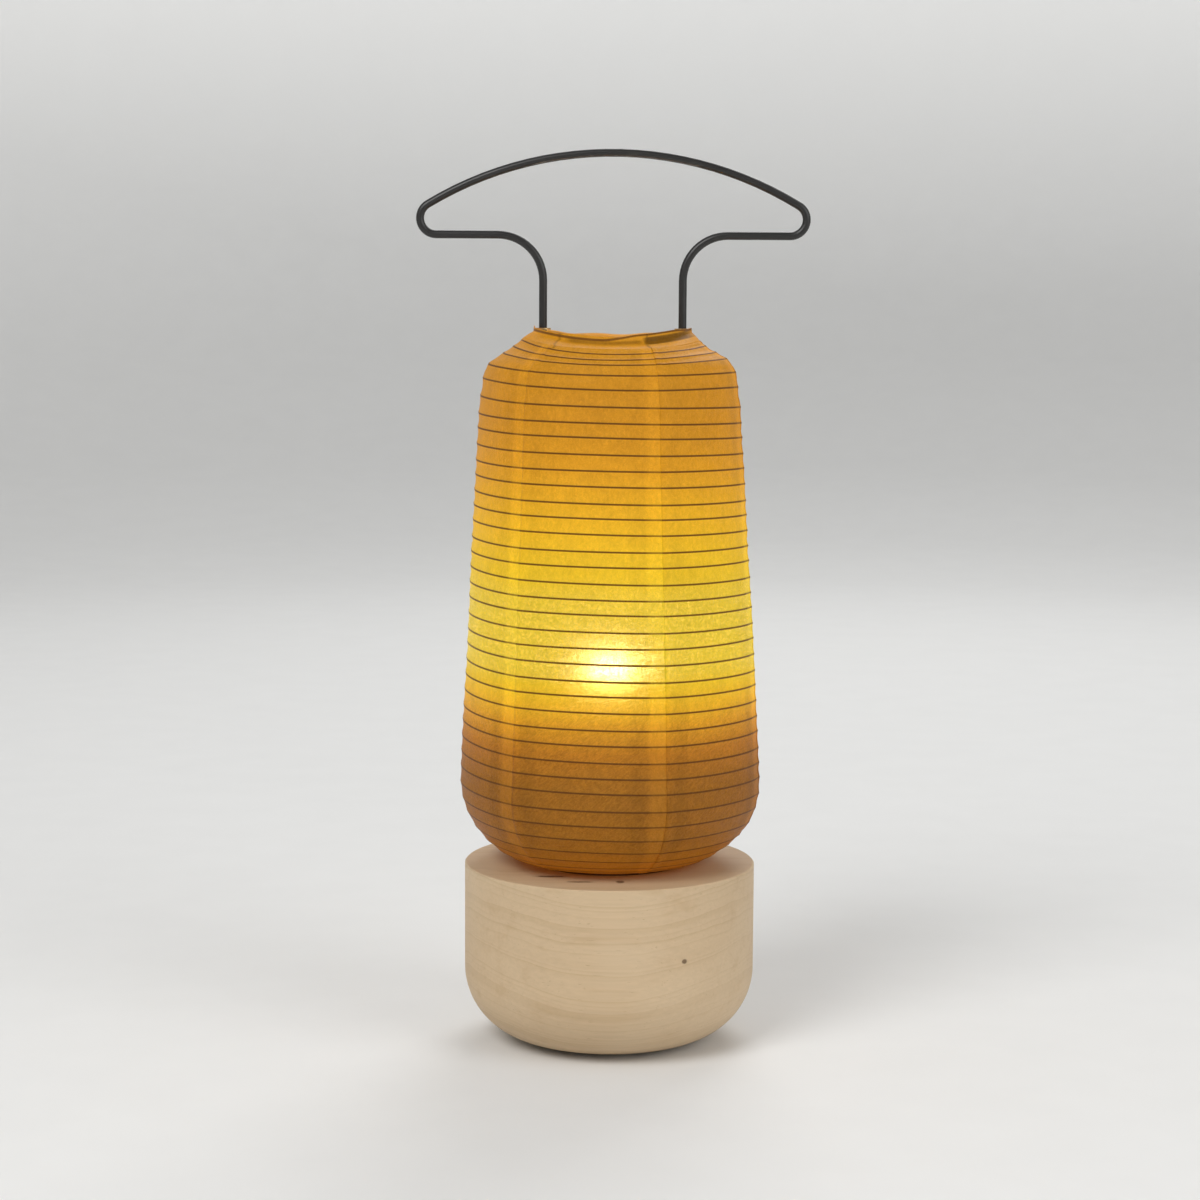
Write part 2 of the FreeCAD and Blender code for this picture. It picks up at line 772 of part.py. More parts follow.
def handle_edges():
    """The wire's centre line from the left leg's foot round the bow to the right leg's foot."""
    offset = size.leg_offset.value
    run = (base_top + run_height).value
    bend = size.shoulder_bend.value
    tip = size.tip_bend.value
    reach = size.tip_reach.value
    crown = (base_top + bow_height).value
    tip_centre = run + tip
    drop = crown - tip_centre
    bow = (reach * reach + drop * drop - tip * tip) / (2 * (drop - tip))
    bow_centre = crown - bow
    tilt = math.atan2(reach, tip_centre - bow_centre)
    slant = math.sqrt(0.5)

    def at(x, z):
        return FreeCAD.Vector(x, 0, z)

    def half(sign):
        knee = at(sign * (offset + bend - bend * slant), run - bend + bend * slant)
        shoulder = [at(sign * offset, run - bend), knee, at(sign * (offset + bend), run)]
        side = tilt / 2 + math.pi / 2
        tip_low = at(sign * reach, run)
        tip_side = at(sign * (reach + tip * math.sin(side)), tip_centre + tip * math.cos(side))
        tip_high = at(sign * bow * math.sin(tilt), bow_centre + bow * math.cos(tilt))
        return shoulder, [tip_low, tip_side, tip_high]

    left_shoulder, left_tip = half(-1)
    right_shoulder, right_tip = half(1)
    foot = leg_end.value
    print("bow radius", round(bow, 2), "tip turn", round(math.degrees(math.pi - tilt), 1))
    return [
        Part.LineSegment(at(-offset, foot), left_shoulder[0]).toShape(),
        Part.Arc(*left_shoulder).toShape(),
        Part.LineSegment(left_shoulder[2], left_tip[0]).toShape(),
        Part.Arc(*left_tip).toShape(),
        Part.Arc(left_tip[2], at(0, crown), right_tip[2]).toShape(),
        Part.Arc(*reversed(right_tip)).toShape(),
        Part.LineSegment(right_tip[0], right_shoulder[2]).toShape(),
        Part.Arc(*reversed(right_shoulder)).toShape(),
        Part.LineSegment(right_shoulder[0], at(offset, foot)).toShape(),
    ]


def make_handle():
    """Handle bent from one steel wire, with lightly chamfered ends."""
    foot = FreeCAD.Vector(-size.leg_offset.value, 0, leg_end.value)
    up = FreeCAD.Vector(0, 0, 1)
    wire = tube_along(handle_edges(), foot, up, size.wire_radius.value)
    ends = [
        edge for edge in wire.Edges
        if isinstance(edge.Curve, Part.Circle)
        and abs(edge.BoundBox.ZMax - leg_end.value) < size.fit_gap.value
    ]
    solid_feature("handle_wire", wire.makeChamfer(size.wire_end_break.value, ends))


class ShadeLine:
    """The shade's line in the (radius, height) plane: belly arc, side, corner arc, shoulder.

    It is measured on the paper's outer face and can be moved in or out by an offset.
    """

    def __init__(self, offset):
        floor = base_top.value
        self.belly_centre = FreeCAD.Vector(
            size.belly_radius.value - size.belly_round.value,
            floor + size.belly_lift.value + size.belly_round.value, 0)
        corner = FreeCAD.Vector(size.corner_radius.value, floor + corner_height.value, 0)
        rim = FreeCAD.Vector(rim_radius.value, floor + size.rim_height.value, 0)
        to_centre = self.belly_centre - corner
        belly = size.belly_round.value
        lean = math.asin(belly / to_centre.Length)
        down = turn(to_centre.normalize(), lean)
        self.side_way = down * -1
        outward = FreeCAD.Vector(self.side_way.y, -self.side_way.x, 0)
        self.shoulder_way = (rim - corner).normalize()
        shoulder_out = FreeCAD.Vector(self.shoulder_way.y, -self.shoulder_way.x, 0)
        bend = self.side_way.getAngle(self.shoulder_way)
        set_back = size.corner_round.value * math.tan(bend / 2)
        side_end = corner - self.side_way * set_back
        self.corner_centre = side_end - outward * size.corner_round.value
        self.belly = belly + offset
        self.corner = size.corner_round.value + offset
        self.side_start = self.belly_centre + outward * self.belly
        self.side_end = self.corner_centre + outward * self.corner
        self.shoulder_start = self.corner_centre + shoulder_out * self.corner
        self.bend = bend
        self.outward = outward
        self.shoulder_out = shoulder_out
        self.belly_end_angle = math.atan2(outward.y, outward.x)

    def belly_point(self, angle):
        around = FreeCAD.Vector(math.cos(angle), math.sin(angle), 0)
        return self.belly_centre + around * self.belly

    def angle_at_radius(self, radius):
        """The belly arc's angle where it has this distance from the lamp's axis."""
        return -math.acos((radius - self.belly_centre.x) / self.belly)

    def shoulder_point(self, radius):
        run = (self.shoulder_start.x - radius) / -self.shoulder_way.x
        return self.shoulder_start + self.shoulder_way * run

    def edges(self, start_radius, end_radius):
        """The line's pieces from the foot to the given radius on the shoulder."""
        start = self.angle_at_radius(start_radius)
        middle = (start + self.belly_end_angle) / 2
        corner_middle = self.corner_centre + (self.outward + self.shoulder_out).normalize() * self.corner
        end = self.shoulder_point(end_radius)
        return [
            Part.Arc(self.belly_point(start), self.belly_point(middle), self.side_start).toShape(),
            Part.LineSegment(self.side_start, self.side_end).toShape(),
            Part.Arc(self.side_end, corner_middle, self.shoulder_start).toShape(),
            Part.LineSegment(self.shoulder_start, end).toShape(),
        ]

    def walk(self, start_radius, end_radius):
        """The stretches of the line, each with its length."""
        start = self.angle_at_radius(start_radius)
        end = self.shoulder_point(end_radius)
        return start, [
            self.belly * (self.belly_end_angle - start),
            (self.side_end - self.side_start).Length,
            self.corner * self.bend,
            (end - self.shoulder_start).Length,
        ]

    def at_length(self, start, lengths, along):
        """Place and direction at a distance along the line from its start."""
        if along <= lengths[0]:
            angle = start + along / self.belly
            way = FreeCAD.Vector(-math.sin(angle), math.cos(angle), 0)
            return self.belly_point(angle), way
        along -= lengths[0]
        if along <= lengths[1]:
            return self.side_start + self.side_way * along, self.side_way
        along -= lengths[1]
        if along <= lengths[2]:
            turned_by = along / self.corner
            out = turn(self.outward, turned_by)
            return self.corner_centre + out * self.corner, turn(self.side_way, turned_by)
        along -= lengths[2]
        return self.shoulder_start + self.shoulder_way * along, self.shoulder_way


def turn(vector, angle):
    """A plane vector turned counter-clockwise by an angle in radians."""
    return FreeCAD.Vector(
        vector.x * math.cos(angle) - vector.y * math.sin(angle),
        vector.x * math.sin(angle) + vector.y * math.cos(angle), 0)


def make_paper():
    """Six panels of washi, each a sixth of the shade, meeting edge to edge at their seams."""
    outer = ShadeLine(0)
    inner = ShadeLine(-size.paper_thickness.value)
    start = (foot_hoop_radius + size.foot_hoop_wire + size.panel_edge_gap).value
    end = panel_top_radius.value
    outer_edges = outer.edges(start, end)
    inner_edges = inner.edges(start, end)

    def tie(first, last):
        return Part.LineSegment(first, last).toShape()

    foot = tie(outer_edges[0].Vertexes[0].Point, inner_edges[0].Vertexes[0].Point)
    top = tie(outer_edges[-1].Vertexes[-1].Point, inner_edges[-1].Vertexes[-1].Point)
    outline = Part.Wire(Part.__sortEdges__(outer_edges + [top] + inner_edges + [foot]))
    face = Part.Face(outline)
    face.rotate(FreeCAD.Vector(), FreeCAD.Vector(1, 0, 0), 90)
    axis = FreeCAD.Vector(0, 0, 1)
    step = FULL_TURN / PANEL_COUNT
    for number in range(PANEL_COUNT):
        panel = face.copy()
        panel.rotate(FreeCAD.Vector(), axis, FIRST_SEAM_DEGREES + step * number)
        sector = panel.revolve(FreeCAD.Vector(), axis, step)
        solid_feature("paper_panel_%d" % (number + 1), Part.Solid(sector)
                      if sector.ShapeType != "Solid" else sector)


def make_rib():
    """One split bamboo strip wound left-handed from the foot of the shade to its shoulder."""
    wire = size.rib_radius.value
    line = ShadeLine(-(size.paper_thickness + size.rib_gap + size.rib_radius).value)
    start, lengths = line.walk(rib_start_radius.value, rib_end_radius.value)
    pitch = sum(lengths) / RIB_TURNS

    def place(turns):
        flat, way = line.at_length(start, lengths, pitch * turns)
        angle = math.radians(RIB_START_DEGREES - FULL_TURN * turns)
        out = FreeCAD.Vector(math.cos(angle), math.sin(angle), 0)
        round_way = FreeCAD.Vector(math.sin(angle), -math.cos(angle), 0)
        up = FreeCAD.Vector(0, 0, 1)
        point = out * flat.x + up * flat.y
        go = out * (way.x * pitch) + up * (way.y * pitch) + round_way * (math.tau * flat.x)
        return point, go.normalize()

    steps = RIB_TURNS * ARCS_PER_TURN
    knots = [place(step / ARCS_PER_TURN) for step in range(steps + 1)]
    edges = []
    for (first, first_way), (last, last_way) in zip(knots, knots[1:]):
        edges += biarc(first, first_way, last, last_way)
    foot = knots[0][0] - knots[0][1] * (2 * wire)
    head = knots[-1][0] + knots[-1][1] * (2 * wire)
    edges.insert(0, Part.LineSegment(foot, knots[0][0]).toShape())
    edges.append(Part.LineSegment(knots[-1][0], head).toShape())
    spots = [
        place(step / SPOTS_PER_TURN)[0] for step in range(RIB_TURNS * SPOTS_PER_TURN + 1)
    ]
    near = SPOTS_PER_TURN - SPOTS_PER_TURN // 4
    far = SPOTS_PER_TURN + SPOTS_PER_TURN // 4
    least = min(
        (spot - other).Length
        for number, spot in enumerate(spots[:-near])
        for other in spots[number + near:number + far + 1]
    )
    print("rib pitch", round(pitch, 2), "least gap to itself", round(least - 2 * wire, 2))
    solid_feature("bamboo_rib", tube_along(edges, foot, knots[0][1], wire, RIB_SIDES))


def rim_point(angle, radius, lift):
    """A point that rises and falls with the saddle-shaped rim hoop."""
    level = (base_top + rim_hoop_height).value + size.rim_hoop_saddle.value * math.cos(2 * angle)
    return FreeCAD.Vector(radius * math.cos(angle), radius * math.sin(angle), level + lift)


def make_hoops():
    """Hoops at the foot and the rim of the shade, and the eyelets that ride on the legs."""
    foot_level = base_top + size.foot_hoop_wire + size.hoop_seat_gap
    keep(torus("foot_hoop_ring", foot_hoop_radius, size.foot_hoop_wire, foot_level), "foot_hoop")

    radius = rim_hoop_radius.value
    knots = []
    for step in range(HOOP_STEPS + 1):
        angle = math.tau * (step % HOOP_STEPS) / HOOP_STEPS
        rise = -2 * size.rim_hoop_saddle.value * math.sin(2 * angle)
        go = FreeCAD.Vector(-radius * math.sin(angle), radius * math.cos(angle), rise)
        knots.append((rim_point(angle, radius, 0), go.normalize()))
    edges = []
    for (first, first_way), (last, last_way) in zip(knots, knots[1:]):
        edges += biarc(first, first_way, last, last_way)
    hoop = tube_along(edges, knots[0][0], knots[0][1], size.rim_hoop_wire.value)
    solid_feature("rim_hoop", hoop)

    rim_seat = (base_top + rim_hoop_height + size.rim_hoop_saddle + size.rim_hoop_wire
                + size.eyelet_seat_gap)
    foot_seat = foot_level + size.foot_hoop_wire + size.eyelet_seat_gap
    hole = size.wire_radius + size.eyelet_leg_gap
    for level, seat in (("rim", rim_seat), ("foot", foot_seat)):
        for side, sign in (("left", -1), ("right", 1)):
            name = level + "_eyelet_" + side
            x = sign * size.leg_offset
            disc = cylinder(name + "_disc", hole + size.eyelet_wall, size.eyelet_thickness, x,
                            ZERO, seat)
            bore = cylinder(name + "_bore", hole, size.eyelet_thickness, x, ZERO, seat)
            keep(cut(name + "_cut", disc, bore), name)


def make_binding():
    """Paper binding from the panels' top edge up round the rim hoop to a low standing lip."""
    line = ShadeLine(size.binding_panel_gap.value)
    low = line.shoulder_point(panel_top_radius.value)
    thickness = size.paper_thickness.value
    inner = binding_radius.value
    lip = (size.rim_hoop_wire + size.binding_lip).value
    drop = -size.binding_drop.value
    sections = []
    for step in range(BINDING_STEPS):
        angle = math.tau * step / BINDING_STEPS
        out = FreeCAD.Vector(math.cos(angle), math.sin(angle), 0)

        def low_point(raised):
            return out * low.x + FreeCAD.Vector(0, 0, low.y + raised)

        corners = [
            low_point(0),
            rim_point(angle, inner, drop),
            rim_point(angle, inner, lip),
            rim_point(angle, inner + thickness, lip),
            rim_point(angle, inner + thickness, drop + thickness),
            low_point(thickness),
        ]
        sections.append(Part.makePolygon(corners + corners[:1]))
    solid_feature("rim_binding", Part.makeLoft(sections, True, True, True))


make_base()
make_bottom_plate()
make_driver_board()
make_battery_capsule()
make_switch()
make_light_post()
make_sleeves()
make_handle()
make_paper()
make_rib()
make_hoops()
make_binding()
doc.recompute()

for thing in doc.Objects:
    if "Invalid" in thing.State or "Error" in thing.State:
        raise RuntimeError(thing.Name + " failed")
for thing in kept:
    if thing.Shape.isNull() or not thing.Shape.isValid():
        raise RuntimeError(thing.Label + " has no valid shape")

os.makedirs("parts", exist_ok=True)
for thing in kept:
    thing.Shape.exportStep("parts/" + thing.Label + ".step")
    print(thing.Label, len(thing.Shape.Solids), "solid", round(thing.Shape.Volume, 1), "mm3")
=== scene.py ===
import json
import math

import bpy
from mathutils import Matrix, Vector, noise


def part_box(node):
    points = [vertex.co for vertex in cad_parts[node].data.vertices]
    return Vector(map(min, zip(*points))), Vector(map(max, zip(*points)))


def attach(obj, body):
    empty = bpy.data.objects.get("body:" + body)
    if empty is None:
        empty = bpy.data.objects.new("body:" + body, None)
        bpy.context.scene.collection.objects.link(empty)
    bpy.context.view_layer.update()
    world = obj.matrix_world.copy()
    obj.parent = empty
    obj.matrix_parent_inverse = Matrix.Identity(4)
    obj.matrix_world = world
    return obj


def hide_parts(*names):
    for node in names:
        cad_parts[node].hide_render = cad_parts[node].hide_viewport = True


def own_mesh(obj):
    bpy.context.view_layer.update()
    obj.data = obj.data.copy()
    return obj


# A portable andon: a turned wooden base, a folding shade of washi pasted in six panels on one
# wound bamboo strip, a handle bent from black steel wire and an upright light inside.
# Lengths are worked out in millimetres and go into the meshes in metres. Angles are in degrees
# about the lamp's axis: 0 is the handle's right leg, 180 its left leg and -90 the front.

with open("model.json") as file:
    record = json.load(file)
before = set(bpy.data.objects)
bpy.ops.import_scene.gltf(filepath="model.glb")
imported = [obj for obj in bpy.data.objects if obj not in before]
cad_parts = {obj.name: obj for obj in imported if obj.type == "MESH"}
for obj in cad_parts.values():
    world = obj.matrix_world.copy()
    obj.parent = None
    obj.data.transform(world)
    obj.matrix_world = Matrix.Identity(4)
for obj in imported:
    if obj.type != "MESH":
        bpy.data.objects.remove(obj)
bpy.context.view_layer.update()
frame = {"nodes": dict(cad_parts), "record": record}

MM = 0.001
BASE_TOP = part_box("base_body")[1].z / MM

# Shade, as the solids have it
BELLY_RADIUS = 56.2
BELLY_ROUND = 30.0
BELLY_LIFT = 0.7
CORNER_RADIUS = 47.8
CORNER_HEIGHT = 186.9
CORNER_ROUND = 11.0
RIM_RADIUS = 29.6
RIM_HEIGHT = 201.0
FOOT_RADIUS = 29.12
PANEL_TOP_RADIUS = 37.6

# Rim hoop, and the paper collar over it. The hoop's shadow line, painted on the collar, shows a little
# over the wire's own level and rises at the front right. It is drawn at a smaller scale than the strip's
# line, and so comes out broader
HOOP_LEVEL = 266.65
RIM_SADDLE = 1.75
BINDING_RADIUS = 29.55
HOOP_SHADOW_LINE = 0.75
SHADOW_LINE_RISE = 1.6
SHADOW_LINE_SCALE = 0.75

# Bamboo strip, as it is wound under the paper: its pitch on the side, at the foot and at the
# shoulder, and the first and last turns over which the foot's and shoulder's pitch fade out
RIB_TURNS = 38
RIB_FOOT_RADIUS = 31.6
RIB_TOP_RADIUS = 39.4
RIB_START = 180.0
RIB_THICK = 0.8
RIB_DEEP = 0.7
RIB_PITCH = 5.82
RIB_DROP = 2.35
RIB_FOOT_PITCH = 4.3
RIB_TOP_PITCH = 3.45
FOOT_TURNS = (0.5, 5.0)
TOP_TURNS = (4.6, 0.8)

# Washi panels
PANELS = 6
FIRST_SEAM = -126.5
PANEL_ANGLE = 60.0
LAP_BAND = 8.5
LAP_ANGLE = 2.0
PAPER = 0.14
LAP_LIFT = 0.17
SAG = 0.42
CORNER_SWELL = 0.9
CORNER_MEAN = 0.318
CORNER_TURN = -1.0
SETTLE = 0.3
BULGE = 0.3
CORNER_EASE = 0.7
CORNER_RIDE = 1.6
SHOULDER_RIDE = 5.4
COLLAR_RIDE = 1.2
SHOULDER_SAG = 1.4
UNEVEN = 0.25
LEAN_FOOT = 0.3
LEAN_TOP = 0.8
ROWS_PER_TURN = 8
PANEL_COLUMNS = 32
LAP_STEP = 1.5

FOLD_TRAVEL = 160.0
LIGHT_LEVEL = 142.4
LIGHT_REACH = 4.0


def point(radius, degrees, level):
    """A place on a circle about the lamp's axis, in metres."""
    angle = math.radians(degrees)
    return Vector((radius * math.cos(angle), radius * math.sin(angle), level)) * MM


def smooth(value, low, high):
    """0 below low, 1 above high and an even swing between."""
    share = min(max((value - low) / (high - low), 0.0), 1.0)
    return share * share * (3 - 2 * share)


# Outline of the shade


class ShadeLine:
    """The paper's outer line in the (radius, level) plane: belly arc, side, corner arc, shoulder."""

    def __init__(self):
        self.belly_centre = Vector((BELLY_RADIUS - BELLY_ROUND, BASE_TOP + BELLY_LIFT + BELLY_ROUND))
        corner = Vector((CORNER_RADIUS, BASE_TOP + CORNER_HEIGHT))
        rim = Vector((RIM_RADIUS, BASE_TOP + RIM_HEIGHT))
        to_centre = self.belly_centre - corner
        lean = math.asin(BELLY_ROUND / to_centre.length)
        self.side_way = -self.turned(to_centre.normalized(), lean)
        self.side_out = Vector((self.side_way.y, -self.side_way.x))
        self.shoulder_way = (rim - corner).normalized()
        self.shoulder_out = Vector((self.shoulder_way.y, -self.shoulder_way.x))
        self.bend = math.acos(self.side_way.dot(self.shoulder_way))
        side_end = corner - self.side_way * (CORNER_ROUND * math.tan(self.bend / 2))
        self.corner_centre = side_end - self.side_out * CORNER_ROUND
        self.side_start = self.belly_centre + self.side_out * BELLY_ROUND
        self.shoulder_start = self.corner_centre + self.shoulder_out * CORNER_ROUND
        self.belly_end = math.atan2(self.side_out.y, self.side_out.x)
        self.belly_start = self.belly_angle(FOOT_RADIUS)
        self.runs = [
            BELLY_ROUND * (self.belly_end - self.belly_start),
            (side_end - self.side_start).length,
            CORNER_ROUND * self.bend,
        ]
        self.top = self.along_shoulder(PANEL_TOP_RADIUS)

    @staticmethod
    def turned(way, angle):
        cosine, sine = math.cos(angle), math.sin(angle)
        return Vector((way.x * cosine - way.y * sine, way.x * sine + way.y * cosine))

    def belly_angle(self, radius):
        return -math.acos((radius - self.belly_centre.x) / BELLY_ROUND)

    def along_belly(self, radius):
        return BELLY_ROUND * (self.belly_angle(radius) - self.belly_start)

    def along_shoulder(self, radius):
        return sum(self.runs) + (self.shoulder_start.x - radius) / -self.shoulder_way.x

    def at(self, along):
        """The place and the outward direction at a distance along the line from the foot."""
        if along <= self.runs[0]:
            angle = self.belly_start + along / BELLY_ROUND
            out = Vector((math.cos(angle), math.sin(angle)))
            return self.belly_centre + out * BELLY_ROUND, out
        along -= self.runs[0]
        if along <= self.runs[1]:
            return self.side_start + self.side_way * along, self.side_out
        along -= self.runs[1]
        if along <= self.runs[2]:
            out = self.turned(self.side_out, along / CORNER_ROUND)
            return self.corner_centre + out * CORNER_ROUND, out
        along -= self.runs[2]
        return self.shoulder_start + self.shoulder_way * along, self.shoulder_out


shade = ShadeLine()
RIB_FOOT = shade.along_belly(RIB_FOOT_RADIUS)
RIB_TOP = shade.along_shoulder(RIB_TOP_RADIUS)


def turns_at(degrees):
    """How many turns the strip has gone round, less whole turns, where it passes this angle."""
    return (RIB_START - degrees) / 360


def rib_along(turns):
    """Where the strip lies on the shade's line. It is wound by hand on slots in a form: a little
    unevenly on the side, and closer together where the belly and the shoulder turn in."""
    middle = RIB_PITCH * turns - RIB_DROP
    middle += 0.45 * math.sin(0.16 * (turns - 10))
    middle += 0.22 * math.sin(2.3 * turns) + 0.15 * math.sin(5.1 * turns + 1.0)
    foot = RIB_FOOT + RIB_FOOT_PITCH * turns
    top = RIB_TOP - RIB_TOP_PITCH * (RIB_TURNS - turns)
    along = foot + (middle - foot) * smooth(turns, *FOOT_TURNS)
    return along + (top - along) * smooth(turns, *[RIB_TURNS - end for end in TOP_TURNS])


def swell(degrees, along):
    """How far the pull of the six pasted seams moves the shade in or out of round."""
    full = smooth(along, 4, 30) * (1 - 0.5 * smooth(along, 190, shade.top))
    bulge = BULGE * smooth(along, 30, 70) * (1 - smooth(along, 100, 190))
    turned = degrees - FIRST_SEAM - CORNER_TURN
    from_middle = turned % PANEL_ANGLE - PANEL_ANGLE / 2
    flat = math.cos(math.radians(PANEL_ANGLE / 2))
    corner = (flat / math.cos(math.radians(from_middle)) - flat) / (1 - flat)
    wave = 1.1 * (corner - CORNER_MEAN) + 0.45 * math.cos(math.radians(turned * PANELS))
    return (CORNER_SWELL * wave - SETTLE) * full + bulge


def beside_leg(degrees):
    """1 at either leg of the handle, 0 half way between them."""
    return (1 + math.cos(math.radians(2 * degrees))) / 2


def ridden(degrees, along):
    """The shoulder is drawn up to the two legs, so the strip's last turns ride up there."""
    drawn = CORNER_RIDE * smooth(along, 185, 196) + SHOULDER_RIDE * smooth(along, 198, 210)
    return along + beside_leg(degrees) * (drawn - COLLAR_RIDE * smooth(along, 209.5, 213.2))


def hollow(degrees, along):
    """How far the upper shoulder hangs in beside the legs, most at the right one."""
    right = 0.55 + 0.45 * math.cos(math.radians(degrees))
    return SHOULDER_SAG * beside_leg(degrees) * right * smooth(along, 206, 215)


def lean(along):
    """The shade stands a little to the left of the handle's middle, more so at the shoulder."""
    held = smooth(along, 0, 20) * (1 - smooth(along, 200, shade.top))
    return (LEAN_FOOT + LEAN_TOP * smooth(along, 60, 190)) * held


def shade_point(degrees, along, inward=0.0):
    """A place on the shade, or under it by a distance, in metres."""
    along = ridden(degrees, along)
    place, out = shade.at(along)
    inward += CORNER_EASE * smooth(along, 186, 195) * (1 - smooth(along, 197, 205))
    inward += hollow(degrees, along)
    round_about = point(1.6 / MM, degrees, along * 0.03 / MM)
    slow = noise.noise(round_about + Vector((3.0, 0.0, 7.0)))
    place = place + out * (UNEVEN * slow - inward)
    spot = point(place.x + swell(degrees, along), degrees, place.y)
    spot.x -= lean(along) * MM
    return spot


# Meshes


def join_doubles():
    """Joins the points of the mesh in edit mode that lie on one another."""
    bpy.ops.mesh.select_all(action="SELECT")
    bpy.ops.mesh.remove_doubles(threshold=1e-6)


def from_grid(name, columns, rows, place):
    """A grid primitive whose points are set by place(column, row), each counted from 0."""
    bpy.ops.object.select_all(action="DESELECT")
    bpy.ops.mesh.primitive_grid_add(x_subdivisions=columns, y_subdivisions=rows, size=1)
    piece = bpy.context.object
    piece.name = name
    for vertex in piece.data.vertices:
        column = round((vertex.co.x + 0.5) * columns)
        row = round((vertex.co.y + 0.5) * rows)
        vertex.co = place(column, row)
    bpy.ops.object.shade_smooth()
    return piece


def mark(piece, **marks):
    """Stores lists of numbers, one for each point of the mesh, as attributes that a finish reads."""
    for name, numbers in marks.items():
        stored = piece.data.attributes.new(name, "FLOAT", "POINT")
        stored.data.foreach_set("value", numbers)


def close_tube():
    """Joins the long edges of the active grid to a tube and fills its open ends."""
    bpy.ops.object.mode_set(mode="EDIT")
    join_doubles()
    bpy.ops.mesh.select_all(action="DESELECT")
    bpy.ops.mesh.select_mode(type="EDGE")
    bpy.ops.mesh.select_non_manifold(extend=False)
    bpy.ops.mesh.fill_holes(sides=0)
    bpy.ops.mesh.select_all(action="SELECT")
    bpy.ops.mesh.normals_make_consistent(inside=False)
    bpy.ops.object.mode_set(mode="OBJECT")


def squash_with_shade(piece):
    """Gives a piece a mesh of its own. The share of its height that it would keep, folded with the
    shade, is worked out but not used.
    """
    keep = 1 - FOLD_TRAVEL / (shade.at(shade.top)[0].y - BASE_TOP)
    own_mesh(piece)


def thicken(piece):
    """Gives a sheet the paper's thickness, its inner face with a finish of its own."""
    for name in ("washi", "washi_inside"):
        piece.data.materials.append(finishes[name])
    wall = piece.modifiers.new("paper", "SOLIDIFY")
    wall.thickness = PAPER * MM
    wall.offset = -1.0
    wall.use_even_offset = True
    wall.material_offset = 1
    bpy.ops.object.modifier_apply(modifier=wall.name)


# Shader expressions


class Value:
    """A shader socket whose arithmetic adds Math nodes."""

    def __init__(self, finish, socket):
        self.finish = finish
        self.socket = socket

    def math(self, operation, *others):
        values = dict(enumerate((self,) + others))
        return self.finish.node("Math", {"operation": operation}, values)

    def __add__(self, other):
        return self.math("ADD", other)

    def __radd__(self, other):
        return self.math("ADD", other)

    def __sub__(self, other):
        return self.math("SUBTRACT", other)

    def __rsub__(self, other):
        return self.math("MULTIPLY_ADD", -1.0, other)

    def __mul__(self, other):
        return self.math("MULTIPLY", other)

    def __rmul__(self, other):
        return self.math("MULTIPLY", other)

    def __truediv__(self, other):
        return self.math("DIVIDE", other)

    def __pow__(self, other):
        return self.math("POWER", other)

    def __abs__(self):
        return self.math("ABSOLUTE")

    def root(self):
        return self.math("SQRT")

    def most(self, other):
        return self.math("MAXIMUM", other)


